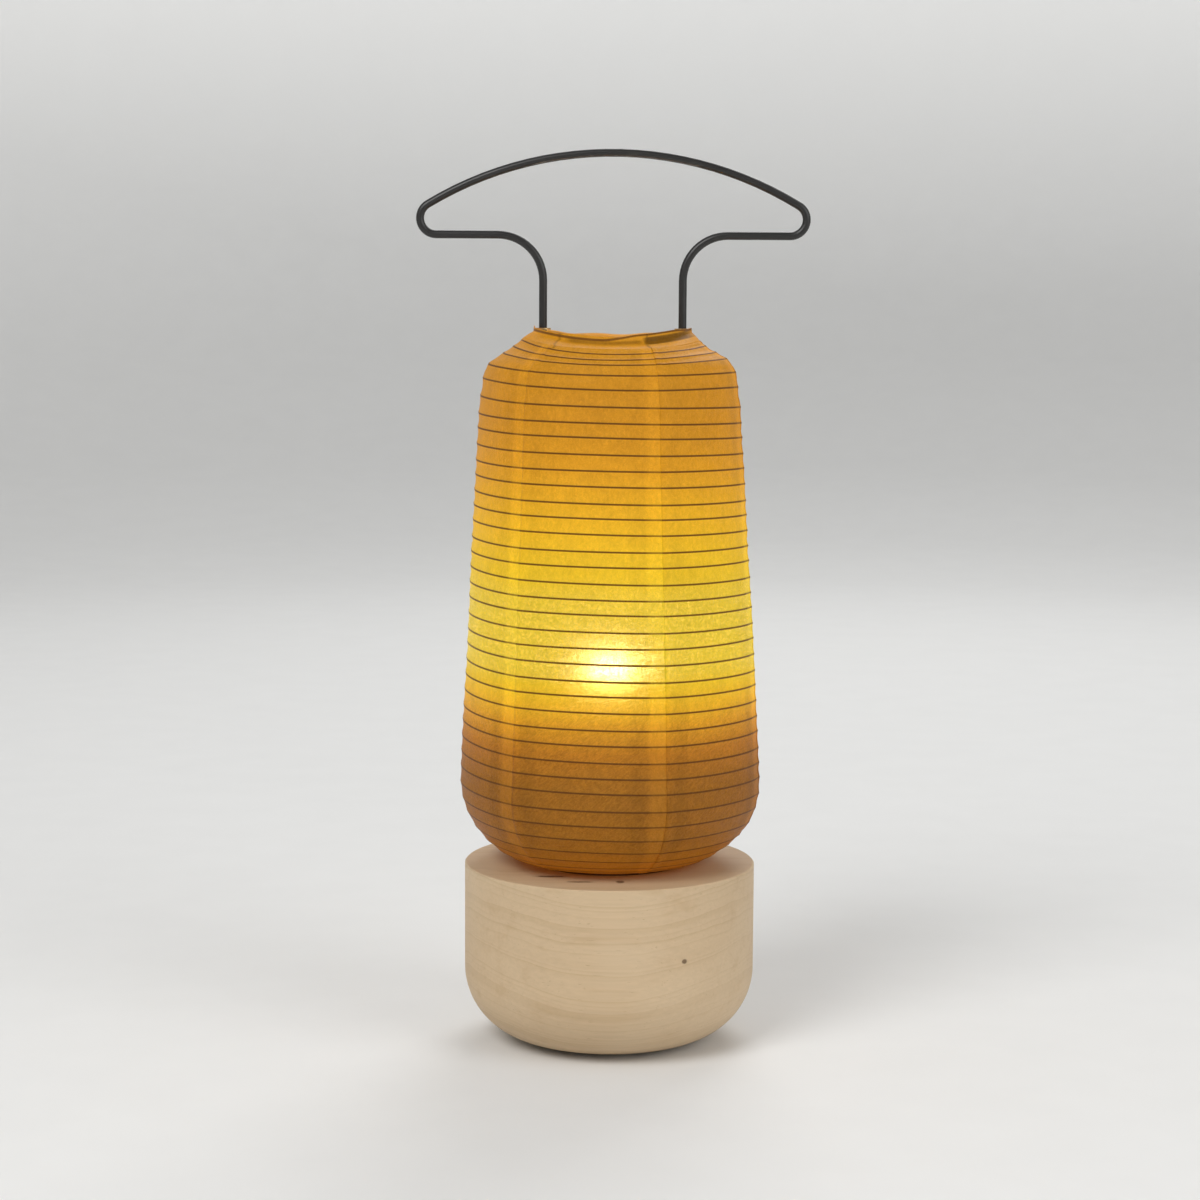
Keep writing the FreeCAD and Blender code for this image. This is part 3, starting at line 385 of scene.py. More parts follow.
class Finish:
    """A material of this lamp, and the nodes that make it."""

    def __init__(self, name):
        self.material = bpy.data.materials.new(name)
        self.material.use_nodes = True
        self.tree = self.material.node_tree
        self.tree.nodes.clear()

    def node(self, kind, settings=None, values=None, output=0):
        """Adds a node, sets its settings, then the values or links of its sockets."""
        made = self.tree.nodes.new("ShaderNode" + kind)
        for name, value in (settings or {}).items():
            setattr(made, name, value)
        for name, value in (values or {}).items():
            socket = self.find(made.inputs, name)
            if isinstance(value, Value):
                self.tree.links.new(value.socket, socket)
            elif socket.type == "RGBA":
                socket.default_value = (*value[:3], 1.0)
            else:
                socket.default_value = value
        return Value(self, self.find(made.outputs, output))

    @staticmethod
    def find(sockets, name):
        if isinstance(name, int):
            return sockets[name]
        for socket in sockets:
            if socket.identifier == name:
                return socket
        return sockets[name]

    def where(self, x=1.0, y=1.0, z=1.0):
        """The piece's own coordinates in metres, each stretched."""
        return self.stretched(self.node("TexCoord", output="Object"), x, y, z)

    def stretched(self, place, x, y, z):
        return self.node("VectorMath", {"operation": "MULTIPLY"}, {0: place, 1: (x, y, z)})

    def parts(self, place):
        split = self.node("SeparateXYZ", values={"Vector": place})
        outputs = split.socket.node.outputs
        return [Value(self, outputs[axis]) for axis in ("X", "Y", "Z")]

    def mark(self, name):
        return self.node("Attribute", {"attribute_name": name}, output="Fac")

    def noise(self, place, scale, detail=2.0, roughness=0.5, distortion=0.0):
        values = {
            "Vector": place, "Scale": scale, "Detail": detail, "Roughness": roughness,
            "Distortion": distortion,
        }
        return self.node("TexNoise", values=values)

    def cells(self, place, scale):
        """How far a place is from the nearest edge between two cells."""
        settings = {"feature": "DISTANCE_TO_EDGE"}
        values = {"Vector": place, "Scale": scale}
        return self.node("TexVoronoi", settings, values, "Distance")

    def span(self, value, low, high):
        """0 where value is under low, 1 over high, with a soft swing between."""
        settings = {"interpolation_type": "SMOOTHSTEP"}
        values = {"Value": value, "From Min": low, "From Max": high}
        return self.node("MapRange", settings, values)

    def mix(self, first, second, share):
        values = {"Factor_Float": share, "A_Color": first, "B_Color": second}
        return self.node("Mix", {"data_type": "RGBA"}, values, "Result_Color")

    def ramp(self, value, stops):
        """Straight mixes from one colour to the next, each given with the value where it is whole."""
        colour = stops[0][1]
        for (low, _), (high, after) in zip(stops, stops[1:]):
            share = self.node("MapRange", values={"Value": value, "From Min": low, "From Max": high})
            colour = self.mix(colour, after, share)
        return colour

    def shaded(self, colour, factor):
        """A colour made darker or lighter by a factor."""
        grey = self.node("CombineXYZ", values={"X": factor, "Y": factor, "Z": factor})
        values = {0: colour, 1: grey}
        return self.node("VectorMath", {"operation": "MULTIPLY"}, values)

    def bump(self, height, strength, distance):
        values = {"Height": height, "Strength": strength, "Distance": distance}
        return self.node("Bump", values=values, output="Normal")

    def surface(self, **values):
        """The shader itself. Words in a socket's name are joined by an underscore."""
        named = {name.replace("_", " "): value for name, value in values.items()}
        named = {"Specular IOR Level" if k == "Specular" else k: v for k, v in named.items()}
        shader = self.node("BsdfPrincipled", values=named, output="BSDF")
        end = self.tree.nodes.new("ShaderNodeOutputMaterial")
        self.tree.links.new(shader.socket, end.inputs["Surface"])
        return self.material


# Finishes

# What the paper's finish reads at each point of a piece: how bright its painted glow is, whether it is
# on a lap, beside one or under the light, the strip's turns and pitch there, whether the strip is there
# at all, and how deep the painted shade in a crease is
MARKS = ("glow", "lap", "flank", "under", "wind", "pitch", "wound", "crease_shade")


def fibres(finish, scale, thin=0.03, seed=0.0):
    """Long thin curling fibres, 1 on a fibre."""
    place = finish.where()
    moved = finish.node("VectorMath", {"operation": "ADD"}, {0: place, 1: (seed, seed, seed)})
    field = finish.noise(moved, scale, 3.0, 0.55, 1.6)
    return 1 - finish.span(abs(field - 0.5), 0.0, thin)


# The glow painted on the paper for the light inside shining through it, from no glow to the brightest
WASHI_LIGHT = [
    (0.0, (0.080, 0.012, 0.0)),
    (0.3, (0.20, 0.055, 0.001)),
    (0.5, (0.32, 0.13, 0.002)),
    (0.6, (0.40, 0.18, 0.003)),
    (0.8, (0.51, 0.30, 0.005)),
    (1.0, (0.50, 0.385, 0.008)),
]

# What is left of that glow in the strip's painted shadow, the paper's colour painted dark there,
# then its colour where it is thick, where it is thin, and where the light shines straight through it
LIGHT_IN_STRIP_SHADOW = (0.060, 0.018, 0.001)
PAPER_IN_STRIP_SHADOW = (0.050, 0.022, 0.006)
PAPER_THICK = (0.225, 0.112, 0.0105)
PAPER_THIN = (0.31, 0.165, 0.0165)
PAPER_CLEAR = (0.30, 0.18, 0.055)
WASHI_IOR = 1.3
WASHI_SPECULAR = 0.2


def make_washi():
    """Thin mulberry paper with fibres and laps, a painted glow for the light inside, and the strip's
    painted shadow line.
    """
    finish = Finish("washi")
    place = finish.where()
    glow, lap, flank, under, wind, pitch, wound, crease_shade = [finish.mark(name) for name in MARKS]
    above = (wind - wind.math("ROUND")) * pitch
    off = abs(above)
    clear = finish.span(glow, 0.93, 1.0)

    cloud = finish.noise(place, 55.0, 3.0, 0.6)
    patch = finish.noise(place, 260.0, 4.0, 0.65, 0.6)
    fine = finish.noise(finish.where(1.0, 1.0, 0.45), 900.0, 2.0, 0.6, 0.8)
    grit = finish.noise(place, 2300.0, 2.0, 0.7)
    strand = fibres(finish, 330.0, 0.035) * 0.6 + fibres(finish, 620.0, 0.05, 3.7) * 0.4
    tilted = finish.node("VectorRotate", {"rotation_type": "Y_AXIS"}, {"Vector": place, "Angle": 0.7})
    strokes = finish.noise(finish.stretched(tilted, 0.4, 0.7, 1.6), 1150.0, 2.0, 0.55, 0.9)
    crinkle = (finish.span(strokes, 0.34, 0.66) - 0.5) * under * (1 - lap)
    mottle = 1 + (cloud - 0.5) * 0.34 + (patch - 0.5) * 0.34 + (fine - 0.5) * 0.28 + strand * 0.12
    mottle = mottle + crinkle * 0.26

    # The strip's painted shadow: a dark line over the strip, and a soft band of painted shade round it
    line = (1 - finish.span(off, 0.20, 0.43)) * wound * (1 - lap * 0.25)
    strip_shade_band = (1 - finish.span(off, 0.2, 1.0)) * wound
    # A thin painted highlight just under each strip line, above the light
    painted_light_below_strip = (1 - finish.span(abs(above + 0.66), 0.0, 0.26)) * wound * (1 - under)
    # Painted shade in creases, tucks and seams, weaker where the light shines straight through
    edge = crease_shade * (0.35 - clear * 0.27)
    # How much darker the glow is: painted shade round the strip and in creases, less where a highlight
    # is painted under the strip, and a darker tone beside the laps
    dark = strip_shade_band * 0.10 + edge - painted_light_below_strip * 0.17 + flank * (0.05 + under * 0.09 - clear * 0.03)
    lift = (0.94 + lap * (0.13 - clear * 0.07)) * mottle

    # The painted glow, brightest at the light's height, standing for the lamp inside shining through
    light = finish.ramp(glow, WASHI_LIGHT)
    light = finish.shaded(light, lift * (1 - dark))
    # The glow dimmed over the strip as its painted shadow
    light = finish.mix(light, LIGHT_IN_STRIP_SHADOW, line * 0.95)

    paper = finish.mix(PAPER_THICK, PAPER_THIN, patch)
    paper = finish.mix(paper, PAPER_CLEAR, clear * 0.8)
    # Painted sparkle: fine grains made lighter where the light shines straight through
    grain = finish.noise(place, 1200.0, 1.0, 0.5, 0.8)
    sparkle = finish.span(grain, 0.50, 0.62) * clear
    weave = 0.50 + fine * 0.40 + strand * 0.25 + grit * 0.40 + crinkle * 0.22
    weave = weave + sparkle * 0.85 - clear * 0.34
    weave = weave * (1 + (lap * 0.22 - flank * 0.14) * (0.3 + under * 0.7))
    # The paper's colour, darkened by the painted crease shade
    paper = finish.shaded(paper, weave * (1 - edge))
    # The paper's colour painted dark over the strip as its shadow
    paper = finish.mix(paper, PAPER_IN_STRIP_SHADOW, line * 0.93)
    height = strand * 0.6 + fine * 0.6 + patch * 0.6 + grit * 0.3 + crinkle * 0.5
    return finish.surface(
        Base_Color=paper,
        Roughness=0.43 + (patch - 0.5) * 0.16 - sparkle * 0.3,
        IOR=WASHI_IOR,
        Specular=WASHI_SPECULAR,
        Transmission_Weight=0.25,
        Emission_Color=light,
        Emission_Strength=1.0,
        Normal=finish.bump(height, 0.55, 0.0004),
    )


def make_washi_inside():
    """The paper's inner face, where the light goes in, with a painted glow."""
    finish = Finish("washi_inside")
    glow = finish.mark("glow")
    cloud = finish.noise(finish.where(), 300.0, 3.0, 0.6)
    light = finish.shaded(finish.ramp(glow, WASHI_LIGHT), 0.5 + cloud * 0.3)
    return finish.surface(
        Base_Color=finish.mix((0.84, 0.80, 0.74), (0.90, 0.88, 0.84), cloud),
        Roughness=0.3,
        IOR=WASHI_IOR,
        Specular=WASHI_SPECULAR,
        Transmission_Weight=0.9,
        Emission_Color=light,
        Emission_Strength=1.0,
    )


# The tree's heart runs left to right, in front of the block and under it, in metres
HEART_BACK = 0.021
HEART_DOWN = 0.045

# Dark flecks in the wood, and one painted shadow line at the shade's foot: each one's place in metres,
# then half its length and half its width
FLECKS_AND_FOOT_SHADOW = [
    (-0.0215, -0.0305, 0.068, 0.0066, 0.0016),
    (-0.0105, -0.0395, 0.068, 0.0056, 0.0012),
    (0.0040, -0.0392, 0.068, 0.0017, 0.0026),
    # A painted shadow line where the shade's foot meets the wood
    (0.0278, -0.0071, 0.068, 0.0030, 0.0004),
    (0.0276, -0.0476, 0.0404, 0.0012, 0.0010),
    (-0.0250, 0.0380, 0.068, 0.0040, 0.0009),
    (-0.0100, 0.0541, 0.0300, 0.0016, 0.0010),
]


def make_wood():
    """Pale fine-grained softwood with its grain lying left to right, oiled, with a few dark knots and
    streaks and a painted shadow line where the shade's foot stands on it.
    """
    finish = Finish("turned_wood")
    place = finish.where()
    drift = finish.noise(finish.where(5.0, 22.0, 22.0), 1.6, 2.0, 0.5)
    sway = finish.noise(finish.where(9.0, 40.0, 40.0), 1.0, 3.0, 0.5)
    across = finish.parts(place)
    y = across[1] + HEART_BACK + (drift - 0.5) * 0.016
    z = across[2] + HEART_DOWN + (sway - 0.5) * 0.005
    ring = (y * y + z * z).root()
    years = finish.node("TexNoise", {"noise_dimensions": "1D"}, {"W": ring * 95.0, "Scale": 1.0})
    vigour = finish.node("TexNoise", {"noise_dimensions": "1D"}, {"W": ring * 210.0 + 9.0, "Scale": 1.0})
    phase = ring * 330.0 + years * 5.0
    late = (phase - phase.math("FLOOR")) ** 3.0 * finish.span(vigour, 0.25, 0.7)
    grain = finish.noise(finish.where(26.0, 900.0, 900.0), 1.0, 3.0, 0.6)
    streak = finish.noise(finish.where(12.0, 170.0, 170.0), 1.0, 3.0, 0.6)
    pores = finish.span(finish.noise(finish.where(70.0, 2400.0, 2400.0), 1.0, 1.0, 0.5), 0.68, 0.78)
    broad = finish.noise(place, 18.0, 2.0, 0.5)
    wood = finish.mix((0.59, 0.44, 0.275), (0.44, 0.295, 0.155), late * 0.5)
    wood = finish.mix(wood, (0.64, 0.50, 0.335), finish.span(broad, 0.45, 0.75) * 0.5)
    wood = finish.mix(wood, (0.47, 0.315, 0.17), finish.span(streak, 0.5, 0.8) * 0.4)
    wood = finish.shaded(wood, 0.91 + grain * 0.18)
    wood = finish.mix(wood, (0.30, 0.185, 0.09), pores * 0.35)
    rough = (finish.noise(place, 420.0, 2.0, 0.5) - 0.5) * 0.7
    flecks_and_shadow = None
    for x0, y0, z0, long, wide in FLECKS_AND_FOOT_SHADOW:
        dx = (across[0] - x0) / long
        dy = (across[1] - y0) / wide
        dz = (across[2] - z0) / wide
        spot = 1 - finish.span((dx * dx + dy * dy + dz * dz).root() + rough, 0.6, 1.15)
        flecks_and_shadow = spot if flecks_and_shadow is None else flecks_and_shadow.most(spot)
    # Dark flecks, and the painted shadow at the shade's foot
    wood = finish.mix(wood, (0.12, 0.065, 0.03), flecks_and_shadow * 0.86)
    height = grain * 0.4 - late * 0.15 - pores * 0.8 - flecks_and_shadow
    return finish.surface(
        Base_Color=wood,
        Roughness=0.52 + grain * 0.12 - late * 0.05,
        Specular=0.35,
        Normal=finish.bump(height, 0.35, 0.0002),
    )


def make_painted_steel():
    """Satin black lacquer, a little thin and rubbed where a hand holds it."""
    finish = Finish("black_steel")
    place = finish.where()
    orange_peel = finish.noise(place, 1500.0, 2.0, 0.5)
    worn = finish.span(finish.noise(place, 60.0, 3.0, 0.6), 0.55, 0.75)
    rub = finish.span(finish.parts(place)[2], 0.31, 0.333) * worn
    colour = finish.mix((0.012, 0.0112, 0.0105), (0.030, 0.027, 0.024), rub)
    return finish.surface(
        Base_Color=colour,
        Roughness=0.36 + (orange_peel - 0.5) * 0.12 - rub * 0.10,
        Specular=0.5,
        Normal=finish.bump(orange_peel, 0.08, 0.0001),
    )


def make_bamboo(name, light, dark):
    """Split bamboo: long fine fibres and a darker skin side."""
    finish = Finish(name)
    place = finish.where()
    streak = finish.noise(finish.where(600.0, 600.0, 2600.0), 1.0, 2.0, 0.6)
    tone = finish.noise(place, 40.0, 2.0, 0.5)
    colour = finish.mix(light, dark, streak * 0.6 + tone * 0.4)
    return finish.surface(
        Base_Color=colour,
        Roughness=0.45 + streak * 0.2,
        Specular=0.4,
        Normal=finish.bump(streak, 0.25, 0.0001),
    )


def make_plastic(name, low, high, roughness, grain=2200.0):
    """A moulded piece with a fine spark-eroded grain."""
    finish = Finish(name)
    place = finish.where()
    texture = finish.noise(place, grain, 2.0, 0.6)
    cloud = finish.noise(place, 45.0, 2.0, 0.5)
    return finish.surface(
        Base_Color=finish.mix(low, high, cloud),
        Roughness=roughness + (texture - 0.5) * 0.15,
        Normal=finish.bump(texture, 0.12, 0.0001),
    )


def make_metal(name, low, high, roughness):
    """Plated or drawn metal with fine drawing lines and a few dull places."""
    finish = Finish(name)
    place = finish.where()
    lines = finish.noise(finish.where(400.0, 400.0, 16000.0), 1.0, 2.0, 0.6)
    dull = finish.noise(place, 240.0, 3.0, 0.6)
    return finish.surface(
        Base_Color=finish.mix(low, high, dull),
        Metallic=1.0,
        Roughness=roughness + (lines - 0.5) * 0.16 + (dull - 0.5) * 0.14,
        Normal=finish.bump(lines, 0.08, 0.0001),
    )


def make_felt():
    """Dense wool felt with short matted hairs."""
    finish = Finish("felt")
    place = finish.where()
    mat = finish.noise(place, 700.0, 4.0, 0.7, 1.2)
    hair = fibres(finish, 900.0, 0.06)
    colour = finish.mix((0.055, 0.050, 0.046), (0.12, 0.11, 0.10), mat)
    colour = finish.mix(colour, (0.20, 0.18, 0.16), hair * 0.4)
    return finish.surface(
        Base_Color=colour,
        Roughness=0.9 + mat * 0.08,
        Sheen_Weight=0.3,
        Sheen_Roughness=0.5,
        Normal=finish.bump(mat + hair * 0.5, 0.6, 0.0003),
    )


def make_board():
    """Circuit board with solder mask over copper tracks."""
    finish = Finish("circuit_board")
    place = finish.where()
    tracks = finish.span(finish.cells(place, 330.0), 0.06, 0.10)
    speck = finish.noise(place, 1600.0, 2.0, 0.5)
    colour = finish.mix((0.035, 0.15, 0.075), (0.02, 0.10, 0.05), tracks)
    return finish.surface(
        Base_Color=finish.shaded(colour, 0.85 + speck * 0.3),
        Roughness=0.30 + speck * 0.15,
        Normal=finish.bump(tracks, 0.3, 0.00005),
    )


def make_glowing(name, low, high, strength, roughness, heart=None):
    """A frosted piece that gives light, only near the level of its heart where that is given."""
    finish = Finish(name)
    place = finish.where()
    frost = finish.noise(place, 900.0, 2.0, 0.5)
    tone = finish.mix(low, high, frost)
    if heart is not None:
        off = abs(finish.parts(place)[2] - heart)
        tone = finish.shaded(tone, 1 - finish.span(off, 0.0, LIGHT_REACH * MM) * 0.97)
    return finish.surface(
        Base_Color=(0.80, 0.76, 0.68),
        Roughness=roughness + frost * 0.1,
        Emission_Color=tone,
        Emission_Strength=strength,
        Normal=finish.bump(frost, 0.1, 0.0001),
    )


finishes = {
    "turned_wood": make_wood(),
    "felt": make_felt(),
    "moulded_plate": make_plastic("moulded_plate", (0.028, 0.026, 0.025), (0.042, 0.040, 0.038), 0.55),
    "screw_steel": make_metal("screw_steel", (0.50, 0.50, 0.49), (0.62, 0.61, 0.59), 0.32),
    "circuit_board": make_board(),
    "chip_resin": make_plastic("chip_resin", (0.018, 0.018, 0.018), (0.03, 0.03, 0.03), 0.5),
    "contact_metal": make_metal("contact_metal", (0.66, 0.58, 0.40), (0.74, 0.67, 0.50), 0.25),
    "seal_rubber": make_plastic("seal_rubber", (0.02, 0.02, 0.02), (0.032, 0.03, 0.03), 0.6, 900.0),
    "carrier_plastic": make_plastic("carrier_plastic", (0.045, 0.045, 0.045), (0.06, 0.06, 0.06), 0.48),
    "cell_jacket": make_plastic("cell_jacket", (0.22, 0.23, 0.24), (0.30, 0.31, 0.32), 0.3, 300.0),
    "knob_plastic": make_plastic("knob_plastic", (0.68, 0.66, 0.60), (0.78, 0.76, 0.70), 0.42),
    "lead_jacket": make_plastic("lead_jacket", (0.30, 0.03, 0.02), (0.38, 0.05, 0.03), 0.45),
    "post_plastic": make_plastic("post_plastic", (0.74, 0.70, 0.62), (0.80, 0.77, 0.69), 0.5),
    "emitter_resin": make_glowing("emitter_resin", (1.0, 0.74, 0.36), (1.0, 0.80, 0.45), 12.0, 0.3),
    "frosted_diffuser": make_glowing(
        "frosted_diffuser", (1.0, 0.86, 0.74), (1.0, 0.90, 0.82), 360.0, 0.45, LIGHT_LEVEL * MM
    ),
    "sleeve_metal": make_metal("sleeve_metal", (0.60, 0.44, 0.20), (0.70, 0.54, 0.28), 0.3),
    "black_steel": make_painted_steel(),
    "bamboo": make_bamboo("bamboo", (0.40, 0.26, 0.10), (0.24, 0.14, 0.045)),
    "dark_hoop": make_bamboo("dark_hoop", (0.115, 0.062, 0.025), (0.06, 0.03, 0.012)),
    "washi": make_washi(),
    "washi_inside": make_washi_inside(),
}


# Washi panels

SEAMS = [FIRST_SEAM + PANEL_ANGLE * number for number in range(PANELS)]


def glow_at(level):
    """How bright the glow painted on the paper is at a level over the base, for the light at its own
    height.
    """
    under = 0.15 * (1 - smooth(level, 2, 16))
    return max(under, smooth(level, 31, 82) * (1 - 0.5 * smooth(level, 95, 175)))


def under_at(level):
    """1 where the paper is well under the light, 0 above it."""
    return smooth(level, 4, 20) * (1 - smooth(level, 52, 78))


def panel_angles():
    """The columns of a panel, in degrees from its first seam, closer at the lap."""
    lap = [-LAP_ANGLE * (1 - step / 2) for step in range(2)]
    ramp = [0.0, 0.7, LAP_STEP]
    steps = range(1, PANEL_COLUMNS + 1)
    body = [LAP_STEP + (PANEL_ANGLE - LAP_STEP) * step / PANEL_COLUMNS for step in steps]
    return lap + ramp + body


def panel_rows():
    """The rows of a panel, in turns of the strip: whole numbers are the strip itself."""
    lowest = -RIB_FOOT / RIB_FOOT_PITCH
    highest = RIB_TURNS + (shade.top - RIB_TOP) / RIB_TOP_PITCH
    steps = round((highest - lowest) * ROWS_PER_TURN)
    low_rows = [lowest + step / ROWS_PER_TURN for step in range(3)]
    first = math.ceil(low_rows[-1] * ROWS_PER_TURN + 0.5) / ROWS_PER_TURN
    rows = low_rows + [first + step / ROWS_PER_TURN for step in range(steps)]
    rows = [row for row in rows if row < highest - 0.04]
    return rows + [highest]


def make_panel(number):
    """One panel of washi, from the foot to the collar, lapped over the panel before it."""
    seam = SEAMS[number]
    angles = panel_angles()
    rows = panel_rows()
    lowest, highest = rows[0], rows[-1]
    marks = {name: [] for name in MARKS}
    base_phase = math.floor(turns_at(seam) + 0.5)

    def spot(column, row):
        degrees = seam + angles[column]
        winding = turns_at(degrees) - base_phase
        window = smooth(rows[row], lowest, lowest + 1.6)
        window *= 1 - smooth(rows[row], highest - 1.6, highest)
        turns = rows[row] + winding * window
        return degrees, turns, turns - winding

    def place(column, row):
        degrees, turns, phase = spot(column, row)
        along = min(max(rib_along(turns), 0.0), shade.top)
        if row == 0:
            along = 0.0
        if row == len(rows) - 1:
            along = shade.top
        wound = smooth(turns, -0.2, 0.2) * (1 - smooth(turns, RIB_TURNS - 0.2, RIB_TURNS + 0.2))
        between = abs(math.sin(math.pi * phase)) ** 0.8
        depth = SAG * (0.75 + 0.5 * noise.noise(Vector((degrees * 0.05, round(phase) * 3.1, 2.0))))
        lift = LAP_LIFT * (1 - smooth(angles[column], 0.0, LAP_STEP))
        ripple = 0.05 * noise.noise(Vector((degrees * 0.9, along * 0.5, 11.0)))
        return shade_point(degrees, along, depth * between * wound - lift + ripple)

    piece = from_grid("washi_panel_%d" % (number + 1), len(angles) - 1, len(rows) - 1, place)
    columns = len(angles)
    band = PANEL_ANGLE - LAP_BAND
    slant = 0 if number else LAP_ANGLE + LAP_STEP
    for vertex in piece.data.vertices:
        level = vertex.co.z / MM - BASE_TOP
        marks["glow"].append(glow_at(level))
        marks["under"].append(under_at(level))
        degrees = math.degrees(math.atan2(vertex.co.y, vertex.co.x))
        off = (degrees - seam + 180) % 360 - 180
        marks["lap"].append(smooth(off, band - 0.9, band + 0.9))
        beside = min(abs(off - 4.0), abs(off - (band - 4.5)))
        marks["flank"].append(1 - smooth(beside, 1.5, 4.5))
        row, column = divmod(vertex.index, columns)
        degrees, turns, phase = spot(column, row)
        over_last = smooth(turns, RIB_TURNS - 0.1, RIB_TURNS + 0.1)
        # A painted shade line along the lap's edge, strongest over the last turn
        edge = 1 - smooth(abs(angles[column] + LAP_ANGLE - slant * over_last), 0.0, 0.9)
        marks["crease_shade"].append((0.1 + 1.1 * over_last) * edge)
        marks["wind"].append(phase)
        ends = [ridden(degrees, rib_along(turns + step)) for step in (-0.05, 0.05)]
        marks["pitch"].append((ends[1] - ends[0]) / 0.1)
        marks["wound"].append(1.0 if 0.0 <= turns <= RIB_TURNS else 0.0)
    mark(piece, **marks)
    thicken(piece)
    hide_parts("paper_panel_%d" % (number + 1))
    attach(piece, "base")
    squash_with_shade(piece)


# Bamboo strip


def make_rib():
    """The one long strip, split and shaved, that winds up under the paper from foot to shoulder."""
    around, steps = 8, 80
    under = PAPER + RIB_DEEP / 2 + 0.03

    def place(column, row):
        turns = row / steps
        degrees = RIB_START - 360 * turns
        along = rib_along(turns)
        angle = math.tau * (column + 0.5) / around
        wide = RIB_THICK / 2 * (1 + 0.08 * math.sin(7.3 * turns))
        side = wide * math.copysign(abs(math.cos(angle)) ** 0.7, math.cos(angle))
        deep = RIB_DEEP / 2 * math.copysign(abs(math.sin(angle)) ** 0.7, math.sin(angle))
        return shade_point(degrees, along + side, under - deep)

    rib = from_grid("bamboo_strip", around, RIB_TURNS * steps, place)
    close_tube()
    rib.data.materials.append(finishes["bamboo"])
    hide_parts("bamboo_rib")
    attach(rib, "base")
    squash_with_shade(rib)


make_rib()


# Rim binding

# The collar's seams: the angle of each at the hoop and at the foot
COLLAR_SEAMS = [(-131, -125), (-65, -68.5), (-6, -8.5), (50, 51.5), (113, 111.5), (170, 171.5)]


def rim_level(degrees):
    """The level of the rim hoop's wire, which rises to the two legs."""
    return HOOP_LEVEL + RIM_SADDLE * math.cos(math.radians(2 * degrees))


def away(degrees, middle):
    """How far one angle is from another, in degrees."""
    return abs((degrees - middle + 180) % 360 - 180)


def shadow_line_rise(degrees):
    """How far the hoop's painted shadow line rides up at the front right, where the paper is tucked in.
    """
    turned = (degrees + 180) % 360 - 180
    up = smooth(turned, -98, -70) * (1 - 0.6 * smooth(turned, -45, -15))
    return SHADOW_LINE_RISE * up * (1 - smooth(turned, 0, 40))


def make_binding():
    """The paper collar from the panels' top edge over the hoop to its uneven lip, and its seams."""
    around, rows, corner_row = 360, 22, 13
    overlap, gap, bend_drop = 0.4, 0.05, 0.9
    tuck_level = -1.4
    marks = {name: [] for name in MARKS}

    def lip(degrees):
        ragged = noise.noise(Vector((math.radians(degrees) * 2.6, 0.0, 5.0)))
        tab = 1 - smooth(away(degrees, 186), 2, 6)
        front = 1 - smooth(away(degrees, 252), 8, 40)
        back = 1 - smooth(away(degrees, 85), 20, 60)
        torn = 1.4 + 0.65 * ragged + 0.8 * tab + 0.7 * front + 0.8 * back
        return max(torn, 1.0 + shadow_line_rise(degrees))

    def profile(degrees, row):
        hoop = rim_level(degrees)
        along = ridden(degrees, shade.top - overlap)
        start, out = shade.at(along)
        foot = start + out * (gap - hollow(degrees, along))
        foot.x += swell(degrees, shade.top)
        bend = Vector((BINDING_RADIUS, hoop - bend_drop + bend_drop * beside_leg(degrees)))
        if row <= corner_row:
            share = row / corner_row
            spot = foot.lerp(bend, share)
            return spot + out * 0.12 * math.sin(math.pi * share)
        share = (row - corner_row) / (rows - corner_row)
        tilt = 0.30 * noise.noise(Vector((math.radians(degrees) * 4.0, 3.0, 1.0))) - 0.15
        return bend.lerp(Vector((BINDING_RADIUS + tilt * share, hoop + lip(degrees))), share)

    def place(column, row):
        degrees = 360 * column / around
        here = profile(degrees, row)
        if row == corner_row:
            here = (profile(degrees, row - 1) + here * 2 + profile(degrees, row + 1)) / 4
        return point(here.x, degrees, here.y)

    binding = from_grid("collar_paper", around, rows, place)
    for vertex in binding.data.vertices:
        degrees = math.degrees(math.atan2(vertex.co.y, vertex.co.x))
        level = vertex.co.z / MM
        marks["glow"].append(glow_at(level - BASE_TOP))
        marks["flank"].append(0.0)
        marks["under"].append(0.0)
        over = level - rim_level(degrees)
        # The hoop's painted shadow line, drawn with the strip's line marks
        marks["wind"].append((over - HOOP_SHADOW_LINE - shadow_line_rise(degrees)) / RIB_PITCH)
        marks["pitch"].append(RIB_PITCH * SHADOW_LINE_SCALE)
        marks["wound"].append(1.0 if over > tuck_level else 0.0)
        marks["lap"].append(0.4)
        # Painted shade on the collar: along its seams, in the tuck at the front right and in the fold
        # under the hoop at the front left
        down = 1 - smooth(level, shade.at(shade.top)[0].y, HOOP_LEVEL)
        seams = [away(degrees, high + (low - high) * down) for high, low in COLLAR_SEAMS]
        seam = 1 - smooth(min(seams), 0.3, 1.4)
        tuck_shade = smooth(degrees, -69, -65) * (1 - 0.7 * smooth(degrees, -30, -6))
        tuck_shade *= 1 - smooth(degrees, -4, 4)
        tuck_shade *= smooth(over, tuck_level, -1.15) * (1 - smooth(over, 1.1, 1.5))
        fold_shade = smooth(degrees, -128, -120) * (1 - smooth(degrees, -72, -66))
        fold_shade *= 1 - smooth(abs(over + 0.3), 0.3, 1.0)
        marks["crease_shade"].append(max(1.3 * seam, 2.0 * tuck_shade, 1.2 * fold_shade))
    mark(binding, **marks)
    bpy.ops.object.mode_set(mode="EDIT")
    join_doubles()
    bpy.ops.object.mode_set(mode="OBJECT")
    thicken(binding)
    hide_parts("rim_binding")
    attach(binding, "shade_rim")


make_binding()

for number in range(PANELS):
    make_panel(number)


# Stage, lamps and camera

